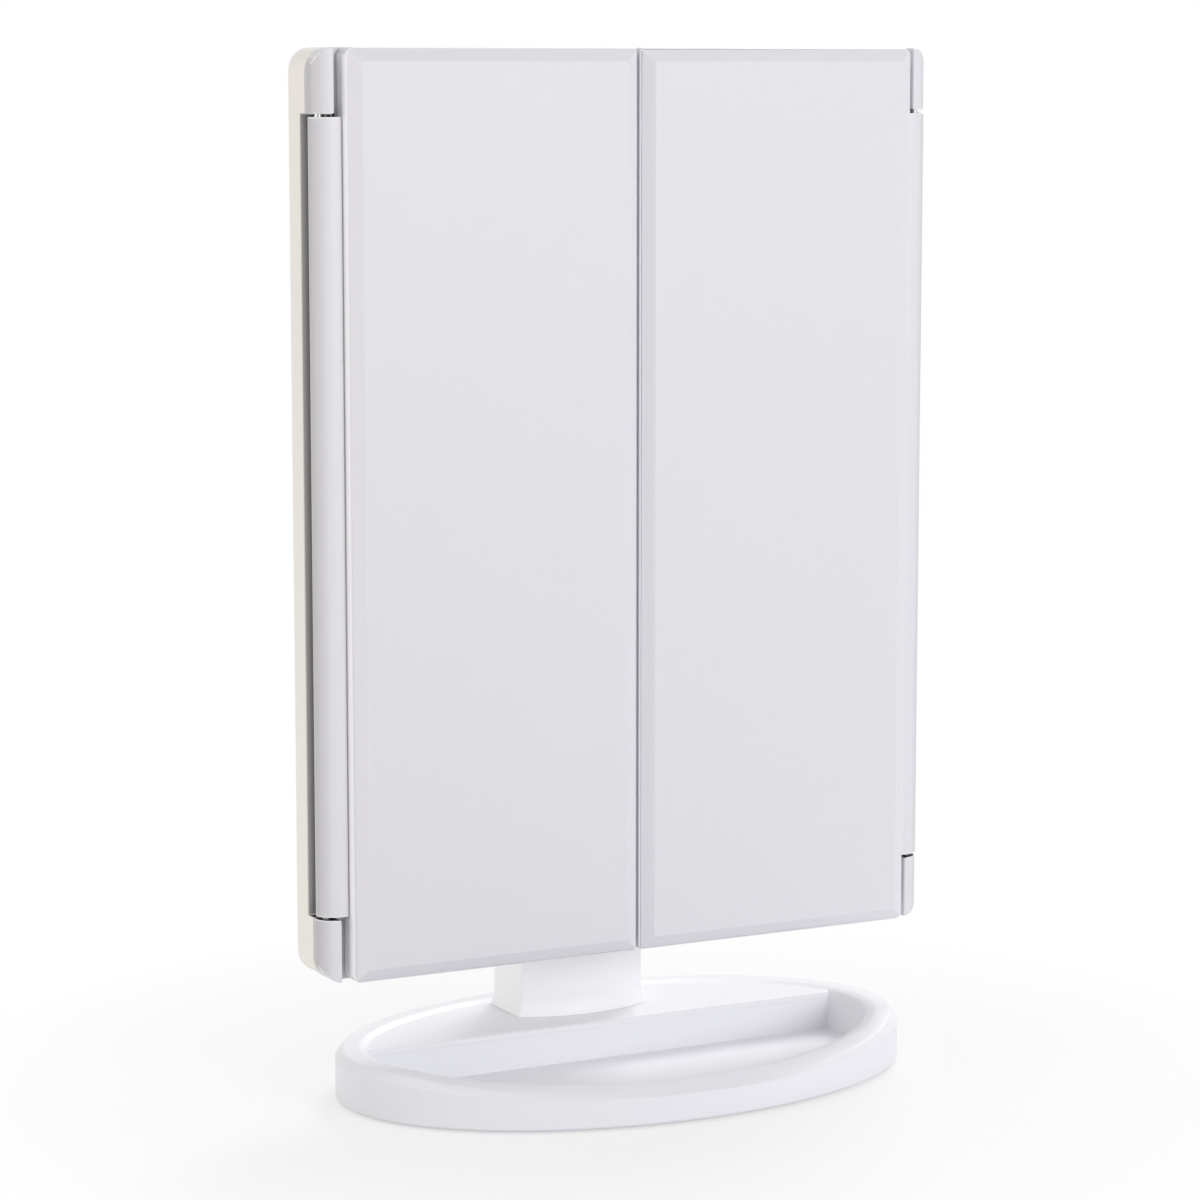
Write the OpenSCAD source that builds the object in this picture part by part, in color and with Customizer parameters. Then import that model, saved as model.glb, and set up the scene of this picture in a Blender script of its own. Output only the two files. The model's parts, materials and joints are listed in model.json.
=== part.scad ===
// Trifold vanity mirror: a folding three-panel lighted mirror on a tray base.
// X runs to the viewer's right, Y to the back, Z up. The origin is on the table,
// under the centre of the oval base. Both wings are modelled folded shut.

/* [Head] */
// Width of the folded mirror head
head_w = 184; // [170:1:220]
// Height of the mirror head
head_h = 243; // [225:1:290]
// Height of the head's lower edge above the table
head_lift = 37; // [32:1:60]
// Depth of the centre unit, from its face to its back wall
head_d = 14.1; // [13.5:0.1:18]
// Corner radius of the centre unit, seen from the front
head_r = 6; // [4:0.5:10]
// Wall thickness of the head's mouldings
wall = 2; // [1.6:0.1:2.4]
// Bevel round the back edge of the rear casing
casing_bevel = 1.2; // [0.4:0.1:1.6]
// Thickness of the front frame's face plate
frame_t = 2.2; // [2:0.1:3]
// Thickness of the front frame's inner floor
floor_t = 2.1; // [1.5:0.1:2.6]

/* [Mirrors] */
// Thickness of every mirror plate and light diffuser
mirror_t = 2; // [1.6:0.1:2.2]
// Depth of a mirror's face below its frame
mirror_recess = 0.1; // [0.05:0.05:0.4]
// Clearance round a mirror in its pocket
mirror_gap = 0.2; // [0.1:0.05:0.4]
// Width of each light diffuser beside the centre mirror
diffuser_w = 8.3; // [6:0.1:12]
// Height of the upper magnifying mirror in the left wing
magnifier_h = 92; // [60:1:120]
// Width of the bar between the two magnifying mirrors
crossbar_w = 4; // [3:0.5:8]
// Depth of the dish in each magnifying mirror
dish = 0.6; // [0.3:0.1:0.9]

/* [Wings] */
// Thickness of a wing
wing_t = 8.3; // [7.5:0.1:11]
// Gap between the two wings at the centre seam
seam = 0.7; // [0.4:0.1:1.5]
// Gap between a closed wing's mirrors and the centre face
face_gap = 0.4; // [0.3:0.1:0.8]
// Width of the bevel round a wing's back
bevel_w = 3.7; // [2:0.1:5]
// Depth of the bevel round a wing's back
bevel_d = 2.4; // [1:0.1:3]
// Radius of a wing's outer corners, seen from the front
wing_corner_r = 2.4; // [1.2:0.1:4]
// Radius of a wing's corners at the centre seam
seam_corner_r = 1.2; // [0.6:0.1:2]
// Wall thickness of a wing cover
wing_wall = 1.8; // [1.5:0.1:2.2]
// Width of the ledge that a wing's bezel sits on
bezel_ledge = 1.2; // [0.8:0.1:2]
// Width of the bezel's border round its mirrors
bezel_border = 2.4; // [2:0.1:5]
// Thickness of the bezel's floor behind the mirrors
bezel_floor = 0.9; // [0.8:0.1:1.2]

/* [Wing hinges] */
// Distance of the hinge axis in front of the base's centre
axis_front = 3; // [0:0.5:8]
// Distance of the hinge axis from the head's side
axis_inset = 2.7; // [2.5:0.1:3.2]
// Radius of a hinge pin
pin_r = 1; // [0.8:0.1:1.1]
// Length of a hinge pin inside the corner post
pin_in_post = 11; // [8:0.5:14]
// Length of a hinge pin inside the wing's barrel
pin_in_barrel = 12; // [8:0.5:20]
// Distance from the hinge axis to the wing's outer edge
panel_gap = 5; // [4.95:0.05:6]
// Height of the corner posts that hold the hinge pins
post_h = 16.8; // [16.5:0.1:22]
// Distance of the posts' front behind which the hinge axis lies
post_front = 4; // [3.6:0.1:4.1]
// Large outer radius of the posts and barrels
post_r = 4.9; // [4.4:0.1:5]
// Gap between a post and the barrel's end
barrel_gap = 0.8; // [0.4:0.1:1.5]
// Width of the groove between the barrel and the wing's edge
groove_w = 0.35; // [0.2:0.05:0.6]
// Depth of the notch in the casing's side behind the barrel
notch_d = 3.5; // [3:0.1:4.5]

/* [Tilt hinge] */
// Height of the tilt axis above the head's lower edge
tilt_up = 118; // [100:1:120]
// Distance of the tilt axis behind the base's centre
tilt_back = 30.6; // [29.6:0.2:33]
// Radius of the tilt bolt
bolt_r = 3; // [2:0.1:4]
// Thickness of each ear on the casing
ear_t = 6; // [5.5:0.5:8]
// Radius of the ears' round ends
ear_r = 9.5; // [9:0.5:10.5]
// Thickness of each friction washer
washer_t = 0.8; // [0.5:0.1:1.5]
// Radius of the friction washers
washer_r = 8; // [6:0.5:8.5]
// Thickness of the spring washer under the nut
spring_washer_t = 0.6; // [0.4:0.1:0.8]
// Thickness of the bolt's head and of its nut
bolt_head_h = 2; // [1.8:0.1:2.4]
// Distance across the flats of the bolt's head and of its nut
hex_w = 8; // [7.5:0.5:9]
// Thickness of the hinge's round end caps
cap_t = 1; // [0.8:0.1:1.2]

/* [Neck] */
// Width of the neck
neck_w = 38; // [34:0.2:44]
// Depth of the neck at its middle
neck_d = 22.4; // [21:0.2:24]
// Rise of the neck's rounded front over its edges
neck_bulge = 4.6; // [2:0.2:5]
// Wall thickness of the neck
neck_wall = 2.4; // [2:0.1:3]
// Spread of the neck's foot
flare_w = 1.4; // [1:0.1:2.5]
// Height of the flared foot
flare_h = 5; // [3:0.5:8]
// Width of the spigot that plugs into the base
spigot_w = 30; // [26:1:31]
// Depth of the spigot
spigot_d = 14; // [12:0.5:15]

/* [Base] */
// Width of the oval base
base_w = 165.6; // [155:0.2:200]
// Depth of the oval base
base_d = 105.4; // [103:0.2:120]
// Height of the base's rim above the table
base_h = 14; // [12:0.5:18]
// Depth of the deck below the rim
deck_drop = 0.8; // [0.4:0.1:1.2]
// Height of the base's outer edge at the front
lip_low = 8.2; // [7:0.1:9]
// Height of the tray's inner edge at the front
lip_high = 10.8; // [9:0.1:12]
// Width of the rim round the tray
rim_w = 6; // [4:0.1:8]
// Radius of the rim's outer rounding
rim_round = 2.4; // [1.5:0.1:3.5]
// Radius of the rim's inner rounding, into the tray
bead_r = 3; // [1.5:0.1:4]
// Height of the tray's floor above the table
tray_floor = 2.8; // [2.6:0.1:3.4]
// Distance of the tray's back wall behind the base's centre
tray_back = 9.5; // [6:0.5:12]
// Height of the base's underside above the table, under its feet
foot_gap = 0.6; // [0.4:0.1:0.8]
// Thickness of the bottom plate
plate_t = 1.6; // [1.4:0.1:2]
// Wall thickness over the hollow of the base
deck_t = 2.4; // [2:0.1:3]
// Length of the screws that hold the bottom plate
base_screw_l = 7.5; // [6:0.5:8.5]
// Distance of those screws from the base's outline
plate_screw_inset = 8.6; // [8.4:0.1:10]
// Radius of the rubber feet
foot_r = 5; // [3:0.5:6]
// Distance of the feet from the base's outline
foot_inset = 12.5; // [11:0.5:14]
// Thickness of the rubber feet
foot_t = 1; // [0.9:0.1:1.2]

/* [Lights] */
// Number of lights on each side
led_count = 12; // [4:1:16]
// Thickness of the light boards
led_board_t = 1.2; // [0.8:0.1:1.6]
// Width of each light
led_w = 2.8; // [2:0.1:3]
// Length of each light
led_l = 3.5; // [2.5:0.1:5]
// Height of each light on its board
led_h = 1.3; // [0.8:0.1:1.4]

/* [Batteries] */
// Radius of an AA cell
cell_r = 7.1; // [7:0.05:7.2]
// Length of an AA cell with its button
cell_l = 50.5; // [49.5:0.5:50.5]
// Number of cells side by side
cell_count = 4; // [2:1:4]
// Distance between the middles of neighbouring cells
cell_pitch = 14.8; // [14.7:0.1:16]
// Room at the spring end of each cell
spring_room = 4.4; // [3.5:0.1:6]
// Width of the contacts
contact_w = 10; // [8:0.5:12]
// Thickness of the battery cover
cover_t = 2; // [1.6:0.1:2.4]
// Clearance round the battery cover in its grooves
cover_gap = 0.2; // [0.15:0.05:0.3]

/* [Switch and socket] */
// Distance of the switch and the socket from the middle
switch_x = 44; // [40:1:46]
// Height of the switch above the head's lower edge
switch_up = 45; // [40:1:46]
// Height of the charging socket above the head's lower edge
socket_up = 22; // [20:1:26]
// Travel of the power switch
switch_travel = 3; // [2:0.5:4]
// Width of the switch's thumb piece
thumb_w = 4.5; // [3:0.5:6]
// Height that the thumb piece stands out of the casing
thumb_out = 1.2; // [0.8:0.1:2]
// Thickness of the control board
board_t = 1.6; // [1:0.1:1.8]
// Width of the control board
board_w = 76; // [74:1:80]
// Height of the control board
board_h = 49; // [48:1:50]
// Height of the control board's lower edge above the head's lower edge
board_up = 10; // [8:1:12]
// Distance of the control board's left edge from the middle
board_left = 14; // [13:1:18]
// Distance of the battery leads from the middle
power_lead_x = 5; // [4:0.5:6]
// Height of the touch sensor above the head's lower edge
touch_up = 21; // [18:1:24]
// Radius of the touch sensor
touch_r = 6; // [4:0.5:7]

/* [Fasteners] */
// Radius of the casing screws' shank
screw_r = 1.2; // [1:0.05:1.4]
// Radius of a screw's head
screw_head_r = 2.6; // [2.3:0.1:2.8]
// Thickness of a screw's head
screw_head_h = 1.5; // [1.2:0.1:1.7]
// Radial clearance of a screw in its own thread or of a pin pressed in
snug = 0.02; // [0.01:0.01:0.03]
// Radial clearance of a pin that turns
running = 0.05; // [0.03:0.01:0.08]
// Radial clearance of a hole that a screw passes freely
loose = 0.4; // [0.2:0.05:0.6]

/* [Hidden] */
$fn = 64;
eps = 0.01;
hull_fn = 32;

// Head outline and depth planes
side_x = head_w / 2;
head_z0 = head_lift;
head_z1 = head_lift + head_h;
head_mid = (head_z0 + head_z1) / 2;
axis_y = -axis_front;
wing_face_y = axis_y - face_gap / 2;
wing_back_y = wing_face_y - wing_t;
face_y = axis_y + face_gap / 2;
casing_y0 = face_y + frame_t;
casing_y1 = face_y + head_d;
back_wall_y = casing_y1 - wall;

// Wing hinge
pin_x = side_x - axis_inset;
panel_x = pin_x - panel_gap;
seam_x = seam / 2;
post_y = axis_y - post_front;
post_edge_r = 0.5;
post_in_x = pin_x - 2.8;
notch_x = panel_x + 0.3;
notch_y = casing_y0 + notch_d;
notch_z0 = head_z0 + post_h;
notch_z1 = head_z1 - post_h;
barrel_z0 = notch_z0 + barrel_gap;
barrel_z1 = notch_z1 - barrel_gap;
barrel_joint = 0.8;

// Wing
wing_w = panel_x - seam_x;
wing_mid_x = (panel_x + seam_x) / 2;
bezel_gap = 0.15;
bezel_w = wing_w - 2 * (wing_wall + bezel_gap);
bezel_h = head_h - 2 * (wing_wall + bezel_gap);
bezel_t = bezel_floor + mirror_t + mirror_recess;
bezel_y = wing_face_y - bezel_t;
pocket_w = bezel_w - 2 * bezel_border;
pocket_h = bezel_h - 2 * bezel_border;
mirror_back_y = wing_face_y - mirror_recess - mirror_t;
mirror_r = 1.5;

// Centre unit
frame_pocket_x = notch_x - 4;
frame_border = 4.5;
pocket_z0 = head_z0 + frame_border;
pocket_z1 = head_z1 - frame_border;
floor_y0 = face_y + mirror_recess + mirror_t;
floor_y1 = floor_y0 + floor_t;
floor_x = notch_x - wall - 0.2;
centre_x = frame_pocket_x - diffuser_w - 2 * mirror_gap;
diffuser_x = centre_x + mirror_gap + diffuser_w / 2;
centre_h = pocket_z1 - pocket_z0 - 2 * mirror_gap;

// Lights
led_slot_w = led_w + 1.2;
led_pitch = (centre_h - 25) / (led_count - 1);
led_span = led_pitch * (led_count - 1);
led_board_w = diffuser_w - 0.4;
led_board_h = led_span + 9;

// Tilt hinge and neck
tilt_y = tilt_back;
tilt_z = head_z0 + tilt_up;
neck_front = tilt_y - neck_d / 2;
neck_back = tilt_y + neck_d / 2;
neck_arc = (neck_w * neck_w / 4 + neck_bulge * neck_bulge) / (2 * neck_bulge);
ear_x0 = neck_w / 2 + washer_t;
ear_x1 = ear_x0 + ear_t;
hex_r = hex_w / 2 / cos(30);
ear_bore_r = hex_r + 1;
ear_bore_d = cap_t + bolt_head_h + spring_washer_t;
ear_foot = 18;
ear_head = ear_r;
neck_top = tilt_z + neck_d / 2;
neck_solid_z = tilt_z - neck_d / 2 - 3;
cover_z0 = base_h + flare_h + 3;
cover_z1 = neck_solid_z - 4;
back_cover_w = neck_w - 2 * neck_wall;
back_cover_t = 2;
neck_boss_r = 3.2;
back_cover_screws = [cover_z0 + 10, cover_z1 - 10];

// Battery bay
bay_wall = 2.2;
bay_z0 = tilt_z + 18.5;
contact_t = 0.6;
bay_l = contact_t + cell_l + spring_room;
bay_z1 = bay_z0 + bay_l;
bay_x = cell_count * cell_pitch / 2 + 0.4;
bay_floor_y = face_y + frame_t + floor_t + 4.7;
cell_y = bay_floor_y + 0.3 + cell_r;
cover_y0 = cell_y + cell_r + 0.3;
cover_y1 = cover_y0 + cover_t;
bay_mid = (bay_z0 + bay_z1) / 2;
house_x = bay_x + bay_wall + 2;
house_z0 = bay_z0 - bay_wall;
house_z1 = bay_z1 + bay_wall;
groove_d = 1.4;
groove_lip = 1;
house_y = cover_y1 + groove_lip;
cover_x = bay_x + groove_d;
cell_first_x = -(cell_count - 1) / 2 * cell_pitch;

// Controls
board_y0 = floor_y1 + 1.6;
board_y1 = board_y0 + board_t;
board_x0 = -board_left;
board_x1 = board_w - board_left;
board_z0 = head_z0 + board_up;
board_z1 = board_z0 + board_h;
board_inset = 4;
switch_z = head_z0 + switch_up;
socket_z = head_z0 + socket_up;
touch_z = head_z0 + touch_up;
switch_case_w = switch_travel + 6;
switch_case_h = 4.4;
thumb_h = 4;
thumb_flange = 1.6;
thumb_flange_t = 0.9;
thumb_y0 = back_wall_y - 0.2 - thumb_flange_t;
switch_case_y = thumb_y0 - 0.1;
thumb_slot_gap = 0.2;
tang_w = 1.4;
tang_d = 1.5;
socket_w = 7.6;
socket_h = 3;
socket_skin = 0.4;
socket_y1 = casing_y1 - 0.4;
socket_gap = 0.8;

// Screws between the casing and the frame
casing_screw_x = 66;
casing_screw_z = [head_z0 + 11, head_mid, head_z1 - 11];
screw_pad_t = 2;
screw_pad_r = 4.2;
frame_boss_r = 3.2;
casing_screw_l = 7.5;
frame_boss_y = back_wall_y - screw_pad_t;

// Base
base_a = base_w / 2;
base_b = base_d / 2;
function on_base(inset, turn) = [(base_a - inset) * cos(turn), (base_b - inset) * sin(turn)];
base_steps = 96;
slope_back = -20;
deck_h = base_h - deck_drop;
tray_inset = rim_w + 0.4;
tray_draft = 0.9;
cavity_inset = 5;
plate_inset = 3.8;
plate_y = tray_back - 2;
cavity_y = tray_back + 2.4;
plate_z1 = foot_gap + plate_t;
socket_clear = 0.2;
plate_screws = [for (turn = [28, 70.7]) on_base(plate_screw_inset, turn)];
plate_boss_r = 3.4;
foot_recess = foot_t - foot_gap;
feet = [for (turn = [58, -55]) on_base(foot_inset, turn)];
spigot_screw_x = 9;
spigot_screw_l = 8;
screw_sink = 1.4;

white = [0.93, 0.93, 0.95];
inner_white = [0.88, 0.88, 0.90];
silver = [0.78, 0.80, 0.83];
steel = [0.62, 0.63, 0.66];
board_green = [0.10, 0.36, 0.22];
dark = [0.15, 0.15, 0.16];

// ---------- Helpers ----------

// A box between two opposite corners
module box(low, high) {
    translate(low) cube(high - low);
}

// A flat rectangle with round corners
module rounded(w, h, r) {
    square([w - 2 * r, h], center = true);
    square([w, h - 2 * r], center = true);
    for (x = [-1, 1], z = [-1, 1])
        translate([x * (w / 2 - r), z * (h / 2 - r)]) circle(r);
}

// A plate that stands upright, with its outline in X and Z
module upright(w, h, r, y0, y1, x = 0, z = head_mid) {
    translate([x, y1, z]) rotate([90, 0, 0]) linear_extrude(y1 - y0) rounded(w, h, r);
}

// A cylinder along Y
module along_y(r, x, z, y0, y1) {
    translate([x, y0, z]) rotate([-90, 0, 0]) cylinder(r = r, h = y1 - y0);
}

// A cylinder along X through the tilt axis
module along_tilt(r, x0, x1) {
    translate([x0, tilt_y, tilt_z]) rotate([0, 90, 0]) cylinder(r = r, h = x1 - x0);
}

// The same thing on both sides
module both_sides() {
    children();
    mirror([1, 0, 0]) children();
}

// A solid skinned over a stack of rings that have as many points each
module loft(rings) {
    n = len(rings[0]);
    last = len(rings) - 1;
    points = [for (ring = rings, p = ring) p];
    sides = [for (k = [0 : last - 1], i = [0 : n - 1]) let (a = k * n, b = a + n, j = (i + 1) % n)
        each [[a + i, b + i, b + j], [a + i, b + j, a + j]]];
    bottom = [for (i = [0 : n - 1]) i];
    top = [for (i = [n - 1 : -1 : 0]) last * n + i];
    polyhedron(points, concat([bottom, top], sides));
}

// A pan-head screw that points along +Z, its head's underside at z = 0
module pan_screw(length) {
    difference() {
        union() {
            translate([0, 0, -screw_head_h]) cylinder(r = screw_head_r, h = screw_head_h);
            translate([0, 0, -eps]) cylinder(r = screw_r, h = length);
        }
        cross_recess(screw_head_h);
    }
}

// A countersunk screw that points along +Z, its flat head at z = 0
module sunk_screw(length) {
    difference() {
        union() {
            cylinder(r1 = screw_head_r, r2 = screw_r, h = screw_sink);
            translate([0, 0, screw_sink - eps]) cylinder(r = screw_r, h = length - screw_sink);
        }
        cross_recess(0);
    }
}

// The cross in a screw's head
module cross_recess(depth) {
    arm = 1.5 * screw_head_r;
    for (turn = [0, 90]) rotate(turn)
        translate([-arm / 2, -0.3, -depth - eps]) cube([arm, 0.6, 0.8]);
}

// ---------- Base ----------

// Height of the base's outer edge and of the rim's inner edge at a depth y
function slope(y) = min(1, max(0, (slope_back - y) / (slope_back + base_b)));
function outer_z(y) = (base_h - rim_round) * (1 - slope(y)) + lip_low * slope(y);
function inner_z(y) = base_h * (1 - slope(y)) + lip_high * slope(y);

// A share of the rim's rise: round at the sides and the back, straight at the front
function rim_z(y, along) = let (
    soft = sin(90 * min(1, along * rim_w / rim_round)),
    share = soft * (1 - slope(y)) + along * slope(y))
    outer_z(y) + share * (inner_z(y) - outer_z(y));

// Points of an oval inside the base's outline
function oval(inset, z) = [for (i = [0 : base_steps - 1]) let (t = 360 * i / base_steps)
    [(base_a - inset) * cos(t), (base_b - inset) * sin(t), z]];

function rim_ring(along) = [for (i = [0 : base_steps - 1]) let (
    t = 360 * i / base_steps, inset = rim_w * along, y = base_b * sin(t))
    [(base_a - inset) * cos(t), (base_b - inset) * sin(t), rim_z(y, along)]];

// The ring where the rim has come down to the deck
function deck_ring(inset) = [for (i = [0 : base_steps - 1]) let (t = 360 * i / base_steps)
    [(base_a - inset) * cos(t), (base_b - inset) * sin(t), inner_z(base_b * sin(t)) - deck_drop]];

// The front part of an oval, closed by a straight line at back_y. Its height is z,
// or with follow = 1 that far above the rim's inner edge.
function tray_ring(inset, back_y, z, follow = 0) = let (
    a = base_a - inset, b = base_b - inset, rise = asin(back_y / b), sweep = 180 + 2 * rise)
    [for (i = [0 : base_steps / 2]) let (t = 180 - rise + sweep * i / (base_steps / 2))
        [a * cos(t), b * sin(t), z + follow * inner_z(b * sin(t))]];

module base_body() {
    loft(concat(
        [oval(2.2, foot_gap), oval(0.7, foot_gap + 0.7), oval(0, foot_gap + 2.4)],
        [for (along = [0, 0.08, 0.18, 0.32, 0.5, 1]) rim_ring(along)],
        [deck_ring(rim_w + bead_r), oval(base_b - 4, deck_h)]
    ));
}

// The tray's hollow: a drafted wall that rolls over into the rim
module tray_hollow() {
    deep = tray_inset + bead_r;
    loft(concat(
        [tray_ring(deep + tray_draft, tray_back - tray_draft, tray_floor),
            tray_ring(deep, tray_back, -bead_r, 1)],
        [for (turn = [60, 40, 20])
            tray_ring(tray_inset + bead_r * sin(turn), tray_back, -bead_r * (1 - cos(turn)), 1)],
        [tray_ring(tray_inset, tray_back, 0.2, 1), tray_ring(tray_inset, tray_back, base_h + 5)]
    ));
}

// The hollow at the back of the base, under the deck
module base_hollow(inset, y0, z0, z1) {
    intersection() {
        translate([0, 0, z0]) linear_extrude(z1 - z0)
            polygon([for (p = oval(inset, 0)) [p.x, p.y]]);
        box([-base_a, y0, z0 - 1], [base_a, base_b, z1 + 1]);
    }
}

module neck_socket(wall_t, z0, z1) {
    box([-spigot_w / 2 - socket_clear - wall_t, tilt_y - spigot_d / 2 - socket_clear - wall_t, z0],
        [spigot_w / 2 + socket_clear + wall_t, tilt_y + spigot_d / 2 + socket_clear + wall_t, z1]);
}

module base_tray() {
    color(white) difference() {
        union() {
            difference() {
                base_body();
                tray_hollow();
                base_hollow(cavity_inset, cavity_y, foot_gap - 1, deck_h - deck_t);
            }
            for (at = plate_screws) both_sides() translate([at.x, at.y, plate_z1])
                cylinder(r = plate_boss_r, h = deck_h - deck_t - plate_z1 + eps);
            neck_socket(deck_t, plate_z1, deck_h - deck_t + eps);
        }
        base_hollow(plate_inset, plate_y, foot_gap - 1, plate_z1);
        neck_socket(0, plate_z1 - eps, base_h + 1);
        for (at = plate_screws) both_sides()
            translate([at.x, at.y, plate_z1 - eps]) cylinder(r = screw_r + snug, h = base_screw_l - 0.5);
        both_sides() translate([feet[1].x, feet[1].y, foot_gap - eps])
            cylinder(r = foot_r + snug, h = foot_recess + eps);
    }
}

module base_bottom_plate() {
    sink_r = screw_head_r + 0.2;
    screw_at = concat(plate_screws, [[spigot_screw_x, tilt_y]]);
    color(inner_white) difference() {
        base_hollow(plate_inset + socket_clear, plate_y + socket_clear, foot_gap, plate_z1);
        for (at = screw_at) both_sides() translate([at.x, at.y, foot_gap - eps]) {
            cylinder(r = screw_r + 0.2, h = plate_t + 1);
            cylinder(r1 = sink_r + eps, r2 = screw_r + 0.2, h = screw_sink + eps);
        }
        both_sides() translate([feet[0].x, feet[0].y, foot_gap - eps])
            cylinder(r = foot_r + snug, h = foot_recess + eps);
    }
}

module rubber_feet() {
    color(dark) for (at = feet) both_sides() translate([at.x, at.y, 0]) cylinder(r = foot_r, h = foot_t);
}

module base_screws() {
    color(steel) for (at = plate_screws) both_sides()
        translate([at.x, at.y, foot_gap + 0.05]) sunk_screw(base_screw_l);
}

// ---------- Neck ----------

// The neck's outline, seen from above, grown by a margin at its front and sides
module neck_outline(grow = 0) {
    intersection() {
        translate([0, neck_front + neck_arc]) circle(neck_arc + grow, $fn = 128);
        translate([-neck_w / 2 - grow, neck_front - grow - 1])
            square([neck_w + 2 * grow, neck_d + grow + 1]);
    }
}

// The foot: a concave flare in three steps
module neck_flare() {
    steps = 3;
    for (i = [0 : steps - 1]) hull() for (k = [i, i + 1])
        translate([0, 0, deck_h + flare_h * k / steps])
            linear_extrude(eps) neck_outline(flare_w * pow(1 - k / steps, 2));
}

module neck_shell() {
    inner_x = back_cover_w / 2 - 1.2;
    color(white) difference() {
        union() {
            difference() {
                union() {
                    neck_flare();
                    intersection() {
                        translate([0, 0, deck_h]) linear_extrude(neck_top - deck_h) neck_outline();
                        union() {
                            box([-neck_w, 0, deck_h], [neck_w, base_b, tilt_z]);
                            along_tilt(neck_d / 2, -neck_w, neck_w);
                        }
                    }
                    box([-spigot_w / 2, tilt_y - spigot_d / 2, plate_z1],
                        [spigot_w / 2, tilt_y + spigot_d / 2, deck_h + 1]);
                }
                box([-inner_x, neck_front + neck_bulge + neck_wall, cover_z0 + 1.2],
                    [inner_x, neck_back + 5, cover_z1 - 1.2]);
                box([-back_cover_w / 2, neck_back - back_cover_t, cover_z0],
                    [back_cover_w / 2, neck_back + 5, cover_z1]);
            }
            for (z = back_cover_screws)
                along_y(neck_boss_r, 0, z, neck_front + 3, neck_back - back_cover_t);
        }
        along_tilt(bolt_r + running, -neck_w, neck_w);
        for (z = back_cover_screws)
            along_y(screw_r + snug, 0, z, neck_back - back_cover_t - 9, neck_back);
        both_sides() translate([spigot_screw_x, tilt_y, plate_z1 - eps])
            cylinder(r = screw_r + snug, h = spigot_screw_l);
    }
}

module neck_back_cover() {
    color(white) difference() {
        box([-back_cover_w / 2 + socket_clear, neck_back - back_cover_t, cover_z0 + socket_clear],
            [back_cover_w / 2 - socket_clear, neck_back, cover_z1 - socket_clear]);
        for (z = back_cover_screws) {
            along_y(screw_r + 0.2, 0, z, neck_back - 3, neck_back + 1);
            translate([0, neck_back + eps, z]) rotate([90, 0, 0])
                cylinder(r1 = screw_head_r + 0.2, r2 = screw_r + 0.2, h = screw_sink + eps);
        }
    }
}

module neck_cover_screws() {
    color(steel) for (z = back_cover_screws)
        translate([0, neck_back - 0.05, z]) rotate([90, 0, 0]) sunk_screw(8);
}

module neck_screws() {
    color(steel) both_sides() translate([spigot_screw_x, tilt_y, foot_gap + 0.05]) sunk_screw(8);
}

// ---------- Tilt hinge ----------

// Where a straight edge from a point meets a circle about the origin without a corner
function tangent_point(p, r) = let (turn = atan2(p.y, p.x) + acos(r / norm(p)))
    [r * cos(turn), r * sin(turn)];

// One ear on the back of the casing, at +X
module ear() {
    root = casing_y1 - tilt_y - 0.5;
    low = [root, -ear_foot];
    touch = tangent_point(low, ear_r);
    along_tilt(ear_r, ear_x0, ear_x1);
    translate([ear_x0, tilt_y, tilt_z]) rotate([90, 0, 90]) linear_extrude(ear_t)
        polygon([low, touch, [0, 0], [0, ear_head], [root, ear_head]]);
}

module ear_holes() {
    both_sides() {
        along_tilt(bolt_r + snug, ear_x0 - 1, ear_x1 + 1);
        along_tilt(ear_bore_r, ear_x1 - ear_bore_d, ear_x1 + 1);
    }
}

module friction_washers() {
    color(dark) both_sides() difference() {
        along_tilt(washer_r, neck_w / 2 + running, ear_x0 - running);
        along_tilt(bolt_r + running, 0, ear_x1);
    }
}

module tilt_bolt() {
    color(steel) {
        along_tilt(bolt_r, -ear_x1 + ear_bore_d - 0.5, ear_x1 - cap_t - 0.2);
        translate([-ear_x1 + ear_bore_d, tilt_y, tilt_z]) rotate([0, -90, 0])
            cylinder(r = hex_r, h = bolt_head_h, $fn = 6);
    }
}

module spring_washer() {
    x0 = ear_x1 - ear_bore_d;
    color(steel) difference() {
        along_tilt(ear_bore_r - 0.3, x0, x0 + spring_washer_t);
        along_tilt(bolt_r + snug, 0, ear_x1);
    }
}

module tilt_nut() {
    x0 = ear_x1 - ear_bore_d + spring_washer_t;
    color(steel) difference() {
        translate([x0, tilt_y, tilt_z]) rotate([0, 90, 0]) cylinder(r = hex_r, h = bolt_head_h, $fn = 6);
        along_tilt(bolt_r + snug, 0, ear_x1);
    }
}

module hinge_caps() {
    color(white) both_sides() along_tilt(ear_bore_r - snug, ear_x1 - cap_t + 0.2, ear_x1);
}

// ---------- Rear casing ----------

module casing_outer() {
    hull() {
        upright(head_w, head_h, head_r, casing_y0, casing_y1 - casing_bevel, $fn = hull_fn);
        upright(head_w - 2 * casing_bevel, head_h - 2 * casing_bevel, head_r - casing_bevel,
            casing_y0, casing_y1, $fn = hull_fn);
    }
}

// The step in the casing's sides that the wings' barrels turn in, at both sides
module side_notches(grow, low_y) {
    both_sides() box([notch_x - grow, low_y, notch_z0 - grow], [side_x + 5, notch_y + grow, notch_z1 + grow]);
}

module casing_inner() {
    difference() {
        upright(head_w - 2 * wall, head_h - 2 * wall, head_r - wall, casing_y0 - 1, back_wall_y);
        side_notches(wall, casing_y0 - 2);
    }
}

module battery_house() {
    house_w = 2 * house_x;
    house_h = house_z1 - house_z0;
    hull() {
        upright(house_w, house_h, 3, casing_y1 - 1, house_y - 1, z = bay_mid, $fn = hull_fn);
        upright(house_w - 2, house_h - 2, 2, casing_y1 - 1, house_y, z = bay_mid, $fn = hull_fn);
    }
}

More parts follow.
